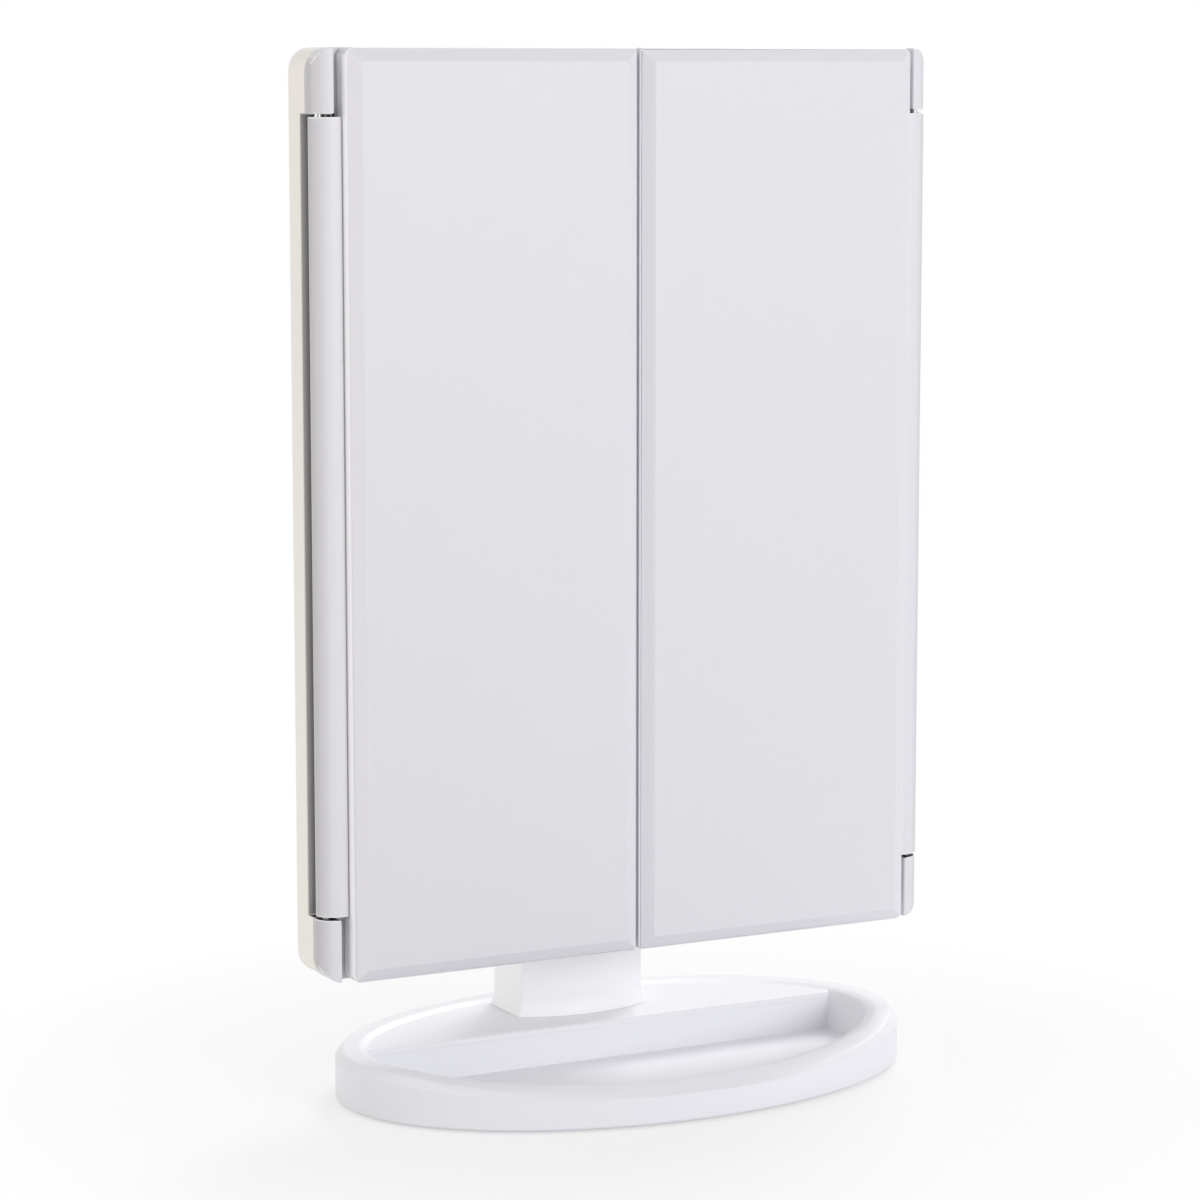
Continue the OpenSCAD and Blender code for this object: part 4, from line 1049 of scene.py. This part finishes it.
class MIRROR_OT_lights(Maker):
    """Models one light with its gel cup, copies it along both boards, and models boards and diffusers"""
    bl_idname = "mirror.lights"
    bl_label = "Lights"

    def make(self):
        c = colours()
        for side in ("left", "right"):
            boxes = solids_in(f"leds_{side}")
            places = [(low + high) / 2 for low, high in boxes]
            light = self.light(boxes[0][1] - boxes[0][0])
            fitted(repeated(f"lights_{side}", light, [(at, None) for at in places]), "lamp_yellow",
                   f"leds_{side}")
            moulded(f"led_board_{side}", f"light_strip_{side}", 0.1 * MM, board_lacquer("strip", c.strip),
                    "board_white", 2)
            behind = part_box(f"led_board_{side}")[1].y
            between = [((at.x, behind, at.z + 9.5 * MM), (0, pi / 2, 0)) for at in places[::3]]
            fitted(repeated(f"strip_resistors_{side}", resistor(), between), "black_plastic", body="head")
            moulded(f"light_diffuser_{side}", f"diffuser_{side}", sizes().glass_edge,
                    milky_acrylic("diffuser", c.diffuser), "milky_plastic")

    def light(self, size):
        """A white cup with yellow gel in it, on two soldered feet."""
        half = size / 2
        cup = block("light", -half, half)
        foot = block("foot", (-0.8 * MM, half.y - 0.3 * MM, -half.z - 0.35 * MM),
                     (0.8 * MM, half.y, half.z + 0.35 * MM))
        cut(cup, rod("gel_cup", 1.2 * MM, (0, -half.y - 0.1 * MM, 0), (0, -half.y + 0.45 * MM, 0), 32,
                     0.95 * MM))
        for piece in (cup, foot):
            round_edges(piece, 0.08 * MM, 2, 50)
        paint(cup, board_lacquer("cup", (0.88, 0.88, 0.86)))
        paint(cup, phosphor("gel", colours().gel),
              lambda at, facing: facing.y < -0.9 and at.y > -half.y + 0.3 * MM and at.y < 0)
        paint(foot, plated_steel("nickel", colours().steel))
        return joined("light", [cup, foot])


class MIRROR_OT_controls(Maker):
    """Models the control board with its parts, the touch spring, the slide switch and the charging socket"""
    bl_idname = "mirror.controls"
    bl_label = "Controls"

    def make(self):
        c = colours()
        black, steel = dark_plastic("black", c.black), plated_steel("nickel", c.steel)
        self.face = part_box("control_board")[1].y
        moulded("control_board", "circuit_board", 0.08 * MM, circuit_board("green", c.board),
                "board_green", 1)
        for piece in (self.chip(black, steel), self.inductor(black)):
            fitted(piece, "black_plastic", body="head")
        fitted(self.capacitor(steel, black), "steel", body="head")
        rows = [((x * MM, self.face, z * MM), (0, turn, 0)) for turn, places in (
            (0, ((10, 76), (10, 79), (10, 82), (30, 76), (30, 79))),
            (pi / 2, ((36, 68), (39, 68), (42, 68), (52, 70), (52, 65)))) for x, z in places]
        fitted(repeated("board_resistors", resistor(), rows), "black_plastic", body="head")
        leads = [((low.x + high.x) / 2, (high.z - 0.3 * MM if high.z < 0.1 else low.z + 0.6 * MM))
                 for low, high in solids_in("wiring")]
        self.solder([(x, z) for x, z in leads if abs(x) < 10 * MM], steel)
        self.touch_spring(steel)
        self.switch(black)
        socket = softened("usb_socket", "charging_socket", 0.08 * MM, steel, 2)
        (low, high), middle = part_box("usb_socket"), middle_of("usb_socket")
        paint(socket, black, lambda at, facing: abs(at.x - middle.x) < 2.4 * MM
              and abs(at.z - middle.z) < 0.5 * MM and low.y + 1.1 * MM < at.y < high.y - 0.5 * MM)
        fitted(socket, "steel", "usb_socket")

    def chip(self, black, steel):
        """A chip with eight bent legs on each long side."""
        x, z, y = 20 * MM, 60 * MM, self.face
        body = block("driver_chip", (x - 5 * MM, y + 0.1 * MM, z - 2 * MM),
                     (x + 5 * MM, y + 1.6 * MM, z + 2 * MM))
        with Editing(body) as edit:
            edit.pick(lambda at, facing: facing.y > 0.9)
            edit.inset(0.15 * MM)
            bpy.ops.transform.translate(value=(0, 0.12 * MM, 0))
        dot = Vector((x - 4.1 * MM, y + 1.6 * MM, z - 1.1 * MM))
        cut(body, rod("dot", 0.4 * MM, dot, dot + Vector((0, 0.4 * MM, 0)), 24))
        paint(body, black)
        leg = block("leg", (x - 0.2 * MM, y, z - 3 * MM), (x + 0.2 * MM, y + 0.16 * MM, z - 2.5 * MM))
        with Editing(leg) as edit:
            edit.pick(lambda at, facing: facing.z > 0.9)
            edit.extrude((0, 0.5 * MM, 0.2 * MM))
            edit.extrude((0, 0.1 * MM, 0.35 * MM))
        paint(leg, steel)
        steps = [(step - 3.5) * 1.27 * MM for step in range(8)]
        legs = repeated("legs", leg, [((step, 0, 0), None) for step in steps]
                        + [((2 * x - step, 0, 2 * z), (0, pi, 0)) for step in steps])
        return joined("driver_chip", [body, legs])

    def inductor(self, black):
        """A shielded coil in a square ferrite case."""
        x, z, y = 33 * MM, 60 * MM, self.face
        case = block("boost_coil", (x - 3 * MM, y, z - 3 * MM), (x + 3 * MM, y + 2.6 * MM, z + 3 * MM))
        round_edges(case, 0.5 * MM, 3)
        with Editing(case) as edit:
            edit.pick(lambda at, facing: facing.y > 0.99 and at.y > y + 2 * MM)
            edit.inset(0.5 * MM)
            edit.inset(0.05 * MM, -0.3 * MM)
        paint(case, black)
        return case

    def capacitor(self, steel, black):
        """A can on a square foot, with a groove round it."""
        profile = ((2.3, 0.7), (2.5, 0.9), (2.5, 1.2), (2.36, 1.35), (2.36, 1.45), (2.5, 1.6), (2.5, 4.0),
                   (2.4, 4.2), (2.1, 4.28), (1.9, 4.2))
        can = turned("supply_capacitor", [(r * MM, z * MM) for r, z in profile], 40)
        can = repeated("supply_capacitor", can, [((5 * MM, self.face, 70 * MM), (-pi / 2, 0, 0))])
        paint(can, steel)
        foot = block("foot", (2.4 * MM, self.face, 67.4 * MM), (7.6 * MM, self.face + 0.75 * MM, 72.6 * MM))
        round_edges(foot, 0.3 * MM, 2)
        paint(foot, black)
        return joined("supply_capacitor", [can, foot])

    def solder(self, places, steel):
        """A dome of solder where each battery lead enters the board."""
        profile = ((1.3, 0.0), (1.25, 0.15), (1.0, 0.4), (0.75, 0.6))
        dome = turned("solder", [(r * MM, z * MM) for r, z in profile], 24)
        paint(dome, steel)
        places = [((x, self.face, z), (-pi / 2, 0, 0)) for x, z in places]
        fitted(repeated("solder_joints", dome, places), "steel", body="head")

    def touch_spring(self, steel):
        """The sensor's disc on a tight coil that reaches the board."""
        (low, high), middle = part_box("touch_pad"), middle_of("touch_pad")
        length, turns = high.y - low.y, 8
        profile = [(5.7 * MM, 0.0), (6.0 * MM, 0.12 * MM), (6.0 * MM, 0.38 * MM), (5.8 * MM, 0.5 * MM),
                   (2.4 * MM, 0.5 * MM)]
        for turn in range(turns):
            start = 0.5 * MM + (length - 0.55 * MM) * turn / turns
            profile += [(1.25 * MM, start + 0.04 * MM), (1.5 * MM, start + 0.16 * MM)]
        profile.append((1.3 * MM, length))
        spring = turned("touch_spring", profile, 40)
        spring = repeated("touch_spring", spring, [((middle.x, low.y, middle.z), (-pi / 2, 0, 0))])
        paint(spring, steel)
        fitted(spring, "steel", "touch_pad")

    def switch(self, black):
        """The slide switch's case and its ribbed thumb piece."""
        moulded("switch_case", "switch_body", 0.12 * MM, black, "black_plastic", 2)
        thumb = copy_of_node("power_switch", "switch_thumb")
        top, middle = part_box("power_switch")[1].y, middle_of("power_switch")
        for step in (-2, -1, 0, 1, 2):
            x = middle.x + step * 0.8 * MM
            cut(thumb, block("groove", (x - 0.2 * MM, top - 0.35 * MM, middle.z - 3 * MM),
                             (x + 0.2 * MM, top + MM, middle.z + 3 * MM)))
        round_edges(thumb, 0.08 * MM, 2)
        paint(thumb, black)
        fitted(thumb, "black_plastic", "power_switch")


class MIRROR_OT_wiring(Maker):
    """Models the two battery leads and the two leads of the light boards, with round bends"""
    bl_idname = "mirror.wiring"
    bl_label = "Wiring"

    def make(self):
        c = colours()
        red, black = wire_sleeve("red", c.lead_red), wire_sleeve("black", c.lead_black)
        wire, bend = 0.6 * MM, 0.85 * MM
        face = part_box("control_board")[1].y
        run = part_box("wiring")[1].y - wire
        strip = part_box("led_board_left")[1].y
        for low, high in solids_in("wiring"):
            if high.z - low.z > 10 * MM:
                x, z = (low.x + high.x) / 2, low.z + wire
                path, across = [(x, face, z), (x, run, z), (x, run, high.z)], Vector((1, 0, 0))
                finish, name = (red, "lead_plus") if x > 0 else (black, "lead_minus")
            else:
                side = 1 if high.x > 70 * MM else -1
                near, far = (low.x + wire, high.x - wire) if side > 0 else (high.x - wire, low.x + wire)
                z = (low.z + high.z) / 2
                path = [(near, face, z), (near, run, z), (far, run, z), (far, strip, z)]
                across, finish = Vector((0, 0, 1)), black
                name = "light_lead_right" if side > 0 else "light_lead_left"
            lead = drawn_along(name, wire, bent([Vector(at) for at in path], bend), across)
            paint(lead, finish)
            fitted(lead, "wire_sleeve", "wiring", smooth=60)


class MIRROR_OT_cells(Maker):
    """Models one AA cell and copies it, turned end for end, with the springs and plates of the bay"""
    bl_idname = "mirror.cells"
    bl_label = "Batteries"

    def make(self):
        c = colours()
        steel = plated_steel("nickel", c.steel)
        boxes = solids_in("aa_cells")
        size = boxes[0][1] - boxes[0][0]
        # Pairs of a radius and a height in millimetres, for a cell of the usual size
        profile = ((4.4, 0.0), (4.7, 0.12), (5.0, 0.3), (6.2, 0.3), (6.5, 0.06), (6.9, 0.0), (7.09, 0.25),
                   (7.09, 36.0), (7.09, 48.9), (6.85, 49.15), (6.1, 49.2), (5.9, 48.95), (4.6, 48.9),
                   (3.6, 49.1), (2.75, 49.3), (2.65, 49.5), (2.65, 50.25), (2.35, 50.5))
        cell = turned("cell", [(r * size.x / (2 * 7.09), z * size.z / 50.5) for r, z in profile], 64)
        seam = 36 * MM
        paint(cell, steel)
        for finish, above in ((foil_sleeve("cell", c.cell), False), (foil_sleeve("band", c.cell_band), True)):
            paint(cell, finish, lambda at, facing: abs(facing.z) < 0.1 and (at.z > seam) == above
                  and hypot(at.x, at.y) > 6.9 * MM)
        places = []
        for index, (low, high) in enumerate(boxes):
            x, y = (low.x + high.x) / 2, (low.y + high.y) / 2
            places.append(((x, y, low.z), None) if index % 2 == 0 else ((x, y, high.z), (pi, 0, 0)))
        fitted(repeated("battery_cells", cell, places), "cell_sleeve", "aa_cells")
        moulded("contact_springs", "leaf_springs", 0.06 * MM, steel, "steel", 2)
        moulded("contact_plates", "end_plates", 0.12 * MM, steel, "steel", 2)


class MIRROR_OT_hinges(Maker):
    """Models the wings' pins and the bolt, nut and washers of the tilt hinge"""
    bl_idname = "mirror.hinges"
    bl_label = "Hinges"

    def make(self):
        steel = plated_steel("nickel", colours().steel)
        self.axis = joint_place("head_tilt")
        for side in ("left", "right"):
            boxes = solids_in(f"hinge_pins_{side}")
            low, high = boxes[0]
            radius, length, end = (high.x - low.x) / 2, high.z - low.z, 0.3 * MM
            pin = turned("pin", [(radius - end, 0), (radius, end), (radius, length - end),
                                 (radius - end, length)])
            paint(pin, steel)
            places = [(((low.x + high.x) / 2, (low.y + high.y) / 2, low.z), None) for low, high in boxes]
            fitted(repeated(f"{side}_pins", pin, places), "steel", f"hinge_pins_{side}")
        self.bolt(steel)
        self.nut(steel)
        self.spring_washer(steel)
        moulded("friction_washers", "fibre_washers", 0.12 * MM, soft_rubber("black", colours().rubber),
                "black_plastic", 2)

    def across(self, name, radius, start, end, sides=48, tip=None):
        """A cylinder or cone on the tilt axis, between two places along it."""
        y, z = self.axis.y, self.axis.z
        return rod(name, radius, (start, y, z), (end, y, z), sides, tip)

    def hexagon(self, name, start, end):
        """A hexagon on the tilt axis, with the corners turned off one end."""
        low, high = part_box("tilt_nut")
        reach = (high.z - low.z) / 2
        piece = self.across(name, reach, start, end, 6)
        start -= (end - start) * 0.01
        combine(piece, "INTERSECT", self.across("corners", reach * 1.6, start, end, 64, reach * 0.93))
        return piece

    def bolt(self, steel):
        low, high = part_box("tilt_bolt")
        head_end = -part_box("spring_washer")[0].x
        bolt = self.hexagon("pivot_bolt", head_end, low.x)
        radius, thread, pitch = 3.0 * MM, 12, 1.0 * MM
        start, end = head_end - 0.5 * MM, high.x
        plain_end = end - thread * pitch - start
        profile = [(radius, 0), (radius, plain_end)]
        for step in range(thread):
            z = plain_end + step * pitch
            profile += [(radius, z + 0.1 * MM), (radius - 0.35 * MM, z + 0.5 * MM), (radius, z + 0.9 * MM)]
        profile.append((radius - 0.5 * MM, end - start))
        place = (start, self.axis.y, self.axis.z)
        add(bolt, repeated("shank", turned("shank", profile, 40), [(place, (0, pi / 2, 0))]))
        paint(bolt, steel)
        fitted(bolt, "steel", "tilt_bolt")

    def nut(self, steel):
        low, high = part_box("tilt_nut")
        nut = self.hexagon("pivot_nut", low.x, high.x)
        cut(nut, self.across("bore", BOLT_BORE, low.x - MM, high.x + MM, 40))
        paint(nut, steel)
        fitted(nut, "steel", "tilt_nut")

    def spring_washer(self, steel):
        """A split ring: its ends stand a little apart."""
        low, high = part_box("spring_washer")
        y, z, gap = self.axis.y, self.axis.z, 0.3 * MM
        ring = self.across("split_washer", (high.z - low.z) / 2, low.x, high.x, 64)
        cut(ring, self.across("bore", BOLT_BORE, low.x - MM, high.x + MM, 64),
            block("split", (low.x - MM, y - gap, z), (high.x + MM, y + gap, z + 0.1)))
        round_edges(ring, 0.06 * MM, 2)
        paint(ring, steel)
        fitted(ring, "steel", "spring_washer")


class MIRROR_OT_screws(Maker):
    """Models each kind of cross-head screw once and copies it into its holes"""
    bl_idname = "mirror.screws"
    bl_label = "Screws"
    head, shank, pitch = 2.6 * MM, 1.2 * MM, 0.8 * MM
    dome = 1.5 * MM

    def make(self):
        steel = plated_steel("nickel", colours().steel)
        for node, name, domed in (
                ("casing_screws", "casing_fixings", True), ("board_screws", "board_fixings", True),
                ("neck_cover_screws", "cover_fixings", False), ("base_screws", "plate_fixings", False),
                ("neck_screws", "neck_fixings", False)):
            boxes = solids_in(node)
            size = boxes[0][1] - boxes[0][0]
            level = size.y > size.z
            above = self.dome if domed else 0.0
            screw = self.screw((size.y if level else size.z) - above, domed)
            paint(screw, steel)
            places = []
            for index, (low, high) in enumerate(boxes):
                middle, spin = (low + high) / 2, index * 1.9 + 0.4
                places.append(((middle.x, high.y - above, middle.z), (pi / 2, spin, 0)) if level else
                              ((middle.x, middle.y, low.z), (0, 0, spin)))
            fitted(repeated(name, screw, places), "steel", node)

    def screw(self, length, domed):
        """A screw along +Z with its head's underside, or a countersunk head's face, at zero."""
        head, shank = self.head, self.shank
        if domed:
            profile = [(head * 0.62, -self.dome), (head * 0.84, -1.4 * MM), (head * 0.96, -1.15 * MM),
                       (head, -0.7 * MM), (head * 0.98, 0.0), (shank, 0.0), (shank, 0.3 * MM)]
        else:
            profile = [(head * 0.9, 0.0), (head * 0.985, 0.03 * MM), (head, 0.12 * MM), (shank, 1.4 * MM)]
        start = profile[-1][1]
        for step in range(int((length - start - 1.2 * MM) / self.pitch)):
            z = start + step * self.pitch
            profile += [(shank * 0.8, z + 0.2 * MM), (shank, z + 0.4 * MM), (shank * 0.97, z + 0.5 * MM),
                        (shank * 0.8, z + 0.7 * MM)]
        profile += [(shank * 0.75, length - 0.8 * MM), (shank * 0.12, length)]
        screw = turned("screw", profile, 32)
        top, long_arm, short_arm = profile[0][1], 1.5 * MM, 0.3 * MM
        cut(screw, rod("drive", 0.95 * MM, (0, 0, top - 0.05 * MM), (0, 0, top + 1.1 * MM), 24, 0.3 * MM),
            *[block("drive", (-x, -y, top - MM), (x, y, top + 0.8 * MM))
              for x, y in ((long_arm, short_arm), (short_arm, long_arm))])
        return screw


class MIRROR_OT_base(Maker):
    """Models the oval base with its rim, tray and deck, and the feet and the plate under it"""
    bl_idname = "mirror.base"
    bl_label = "Base"
    slope_start = -20 * MM
    rim_width, bead_width, floor = 6.0 * MM, 3.4 * MM, 2.8 * MM
    bowl = 6.4 * MM

    def make(self):
        low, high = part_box("base_tray")
        self.half = Vector((high.x, high.y))
        self.top, self.under = high.z, low.z
        self.deck = self.top - DECK_DROP
        base = drawn_up("oval_base", self.rings())
        cut(base, drawn_up("tray_cutter", self.tray_rings()))
        self.hollow(base)
        plain(base)
        paint(base, satin_plastic("base", colours().base))
        fitted(base, "shell_white", "base_tray", smooth=32)
        edge = sizes().trim_edge
        moulded("base_bottom_plate", "bottom_plate", edge, satin_plastic("inside", colours().inside),
                "inner_white")
        moulded("rubber_feet", "feet", edge, soft_rubber("black", colours().rubber), "black_rubber")

    def slope(self, y):
        """How far down the front of the rim has come at a depth y, from 0 to 1."""
        return min(1.0, max(0.0, (self.slope_start - y) / (self.slope_start + self.half.y)))

    def rim_height(self, y, along):
        """The rim's height: a round outer edge at the sides and back, a straight band at the front."""
        low, high = self.top - 2.4 * MM - self.slope(y) * 3.4 * MM, self.inner_height(y)
        soft = sin(pi / 2 * min(1.0, along * 2.4))
        share = soft + (along - soft) * self.slope(y)
        return low + share * (high - low)

    def inner_height(self, y):
        return self.top - self.slope(y) * 3.2 * MM

    def ring(self, inset, height):
        """Points round the base's oval, with one height or a height for each depth."""
        points = []
        for step in range(sizes().oval_points):
            turn = 2 * pi * step / sizes().oval_points
            y = self.half.y * sin(turn)
            points.append(((self.half.x - inset) * cos(turn), (self.half.y - inset) * sin(turn),
                           height(y) if callable(height) else height))
        return points

    def rings(self):
        """The base from its round foot up the rim, over the bead and in to the deck's middle."""
        foot_round = 1.1 * MM
        foot = [self.ring(foot_round * (1 - sin(turn)), self.under + foot_round * (1 - cos(turn)))
                for turn in (0, pi / 10, pi / 5, 3 * pi / 10, 2 * pi / 5, pi / 2)]
        rim = [self.ring(self.rim_width * along, lambda y, along=along: self.rim_height(y, along))
               for along in (0, 0.02, 0.05, 0.09, 0.14, 0.2, 0.27, 0.34, 0.42, 0.55, 0.7, 0.85, 1.0)]
        bead = [self.ring(self.rim_width + self.bead_width * share, lambda y, share=share:
                          self.inner_height(y) - DECK_DROP / 2 * (1 - cos(pi * share)))
                for share in (0.15, 0.3, 0.45, 0.6, 0.75, 0.9, 1.0)]
        return [*foot, *rim, *bead, self.ring(self.half.y - 4 * MM, self.deck)]

    def tray_rings(self):
        """The tray's hollow: a drafted wall, a bead round the front and a round edge at the deck."""
        bead, draft, back = 3.0 * MM, 0.9 * MM, 9.5 * MM
        turn_in, wall = sizes().deck_round, self.bowl + bead + draft

        def outline(inset, behind, height, follow=True):
            across, along = self.half.x - inset, self.half.y - inset
            rise = atan2(behind / along, sqrt(1 - (behind / along) ** 2))
            points = []
            for step in range(sizes().oval_points // 2 + 1):
                turn = pi - rise + (pi + 2 * rise) * step / (sizes().oval_points // 2)
                y = along * sin(turn)
                points.append((across * cos(turn), y, height + (self.inner_height(y) if follow else 0.0)))
            return points

        def behind(height):
            drop = height - (self.deck - turn_in)
            return back + (turn_in - sqrt(turn_in ** 2 - min(drop, turn_in) ** 2) if drop > 0 else 0.0)

        rings = [outline(wall + inward * MM, back - draft - inward * MM, self.floor + up * MM, False)
                 for inward, up in ((0.4, 0.0), (0.12, 0.12), (-0.02, 0.4))]
        for step in range(18, -1, -1):
            turn = step * pi / 36
            drop = bead * (1 - cos(turn))
            rings.append(outline(self.bowl + bead * sin(turn), behind(self.top - drop), -drop))
        return [*rings, outline(self.bowl, back + turn_in, 5 * MM)]

    def hollow(self, base):
        """What the plate covers from below: a cavity, the plate's ledge, the neck's socket, the bosses."""
        plate_low, plate_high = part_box("base_bottom_plate")
        roof, wall, room = self.top - 3.2 * MM, 2.4 * MM, 0.2 * MM
        spigot, neck_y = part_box("neck_shell")[0].z, joint_place("head_tilt").y

        def back_part(name, inset, front, low, high):
            part = drawn_up(name, [self.ring(inset, low), self.ring(inset, high)])
            combine(part, "INTERSECT", block("keep", (-0.2, front, low - MM), (0.2, 0.2, high + MM)))
            return part

        def for_spigot(name, grow, low, high):
            across, along = SPIGOT_X + grow, SPIGOT_Y + grow
            return block(name, (-across, neck_y - along, low), (across, neck_y + along, high))

        cut(base, back_part("cavity", 5.0 * MM, 11.9 * MM, self.under - MM, roof))
        add(base, for_spigot("socket", room + wall, spigot, roof + room))
        holes = [low.lerp(high, 0.5) for low, high in solids_in("base_screws")]
        for at in holes:
            add(base, rod("boss", 3.4 * MM, (at.x, at.y, plate_high.z), (at.x, at.y, roof + room), 32))
        cut(base, back_part("ledge", 3.8 * MM, plate_low.y - room, self.under - MM, plate_high.z),
            for_spigot("socket_hole", room, spigot - MM, self.top + MM))
        for at in holes:
            cut(base, rod("screw_hole", SCREW_HOLE, (at.x, at.y, 0), (at.x, at.y, plate_high.z + 6 * MM), 24))
        for low, high in solids_in("rubber_feet"):
            if low.y < 0:
                at = low.lerp(high, 0.5)
                cut(base, rod("foot_hole", 5.02 * MM, (at.x, at.y, -MM), (at.x, at.y, high.z), 48))


class MIRROR_OT_neck(Maker):
    """Models the neck with its rounded front and flared foot, and its back cover"""
    bl_idname = "mirror.neck"
    bl_label = "Neck"

    def make(self):
        low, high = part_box("neck_shell")
        self.axis = joint_place("head_tilt")
        self.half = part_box("friction_washers")[1].x - 0.8 * MM
        self.front, self.back = 2 * self.axis.y - high.y, high.y
        self.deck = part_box("base_tray")[1].z - DECK_DROP
        white = satin_plastic("neck", colours().neck)
        neck = drawn_up("neck", self.rings(high.z))
        keep = self.across("round_top", high.z - self.axis.z, 96)
        add(keep, block("below", (-0.1, -0.1, 0), (0.1, 0.2, self.axis.z)))
        combine(neck, "INTERSECT", keep)
        self.hollow(neck, low.z)
        plain(neck)
        round_edges(neck, 0.25 * MM, 2, 50)
        paint(neck, white)
        fitted(neck, "shell_white", "neck_shell", smooth=35)
        moulded("neck_back_cover", "neck_door", sizes().trim_edge, white, "shell_white")

    def across(self, name, radius, sides):
        """A rod on the tilt axis, longer than the neck is wide."""
        return rod(name, radius, (-0.1, self.axis.y, self.axis.z), (0.1, self.axis.y, self.axis.z), sides)

    def rings(self, top):
        """The neck's outline at each height: it spreads a little just above the deck."""
        spread, height, steps = 1.4 * MM, 5.0 * MM, 10
        rings = [self.outline(spread * (1 - step / steps) ** 2, self.deck + height * step / steps)
                 for step in range(steps + 1)]
        return [*rings, self.outline(0.0, top)]

    def outline(self, grow, z):
        """The neck from above: an arc across the front, round corners, straight sides."""
        bulge, corner = 4.6 * MM, sizes().neck_corner
        arc = (self.half ** 2 + bulge ** 2) / (2 * bulge)
        middle, reach, side = self.front + arc, arc + grow, self.half + grow
        corner_y = middle - sqrt((reach - corner) ** 2 - (side - corner) ** 2)
        end = atan2(side - corner, middle - corner_y)
        right = [(reach * sin(end * step / 20), middle - reach * cos(end * step / 20)) for step in range(20)]
        for step in range(9):
            turn = end + (pi / 2 - end) * step / 8
            right.append((side - corner + corner * sin(turn), corner_y - corner * cos(turn)))
        for step in range(7):
            turn = pi / 2 * step / 6
            right.append((side - corner + corner * cos(turn), self.back - corner + corner * sin(turn)))
        left = [(-x, y) for x, y in reversed(right[1:])]
        return [(x, y, z) for x, y in [*right, *left]]

    def hollow(self, neck, low):
        """The spigot, the hollow behind the cover, the bore for the tilt bolt and the screw holes."""
        cover_low, cover_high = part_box("neck_back_cover")
        room, lip, y = 0.2 * MM, 1.2 * MM, self.axis.y
        add(neck, block("spigot", (-SPIGOT_X, y - SPIGOT_Y, low), (SPIGOT_X, y + SPIGOT_Y, self.deck + MM)))

        def opening(name, grow, front):
            return block(name, (cover_low.x - grow, front, cover_low.z - grow),
                         (cover_high.x + grow, 0.2, cover_high.z + grow))

        cut(neck, opening("cover_hole", room, cover_low.y), opening("well", room - lip, self.front + 7 * MM),
            self.across("bore", 3.05 * MM, 64))
        for box in solids_in("neck_cover_screws"):
            z = (box[0].z + box[1].z) / 2
            add(neck, rod("boss", 3.2 * MM, (0, self.front + 3 * MM, z), (0, cover_low.y, z), 32))
            cut(neck, rod("screw_hole", SCREW_HOLE, (0, cover_low.y - 7 * MM, z), (0, 0.1, z), 24))
        for box in solids_in("neck_screws"):
            x = (box[0].x + box[1].x) / 2
            cut(neck, rod("screw_hole", SCREW_HOLE, (x, y, 0), (x, y, low + 8 * MM), 24))


class MIRROR_OT_finishes(Maker):
    """Puts a finish on every CAD node that is shown as it is"""
    bl_idname = "mirror.finishes"
    bl_label = "Finishes"

    def make(self):
        c = colours()
        finishes = {
            "shell_white": satin_plastic("wings", c.wings),
            "inner_white": satin_plastic("inside", c.inside),
            "mirror_glass": mirror_silver("plate"),
            "milky_plastic": milky_acrylic("diffuser", c.diffuser),
            "steel": plated_steel("nickel", c.steel),
            "board_green": circuit_board("green", c.board),
            "board_white": board_lacquer("strip", c.strip),
            "lamp_yellow": phosphor("gel", c.gel),
            "black_plastic": dark_plastic("black", c.black),
            "black_rubber": soft_rubber("black", c.rubber),
            "cell_sleeve": foil_sleeve("cell", c.cell),
            "wire_sleeve": wire_sleeve("red", c.lead_red),
        }
        for node in frame["nodes"].values():
            for place in node.material_slots:
                place.material = finishes[place.material.name.split(".")[0]]


STEPS = (MIRROR_OT_studio, MIRROR_OT_finishes, MIRROR_OT_base, MIRROR_OT_neck, MIRROR_OT_shells,
         MIRROR_OT_wings, MIRROR_OT_mirrors, MIRROR_OT_lights, MIRROR_OT_controls, MIRROR_OT_wiring,
         MIRROR_OT_cells, MIRROR_OT_hinges, MIRROR_OT_screws)


class MIRROR_PT_panel(bpy.types.Panel):
    """Lists the steps that make the mirror, with its sizes and colours"""
    bl_idname = "MIRROR_PT_panel"
    bl_label = "Folding mirror"
    bl_space_type = "VIEW_3D"
    bl_region_type = "UI"
    bl_category = "Mirror"

    def draw(self, context):
        scene = context.scene
        for step in STEPS:
            self.layout.operator(step.bl_idname)
        for group in (scene.mirror_sizes, scene.mirror_colours, scene.mirror_studio):
            column = self.layout.column(align=True)
            for key in group.bl_rna.properties.keys():
                if key not in ("rna_type", "name"):
                    column.prop(group, key)


CLASSES = (MirrorSizes, MirrorColours, StudioLight, *STEPS, MIRROR_PT_panel)


def register():
    for kind in CLASSES:
        bpy.utils.register_class(kind)
    bpy.types.Scene.mirror_sizes = PointerProperty(type=MirrorSizes)
    bpy.types.Scene.mirror_colours = PointerProperty(type=MirrorColours)
    bpy.types.Scene.mirror_studio = PointerProperty(type=StudioLight)


def unregister():
    del bpy.types.Scene.mirror_studio
    del bpy.types.Scene.mirror_colours
    del bpy.types.Scene.mirror_sizes
    for kind in reversed(CLASSES):
        bpy.utils.unregister_class(kind)


def main():
    register()
    for step in STEPS:
        getattr(bpy.ops.mirror, step.bl_idname.split(".")[1])()


if __name__ == "__main__":
    main()
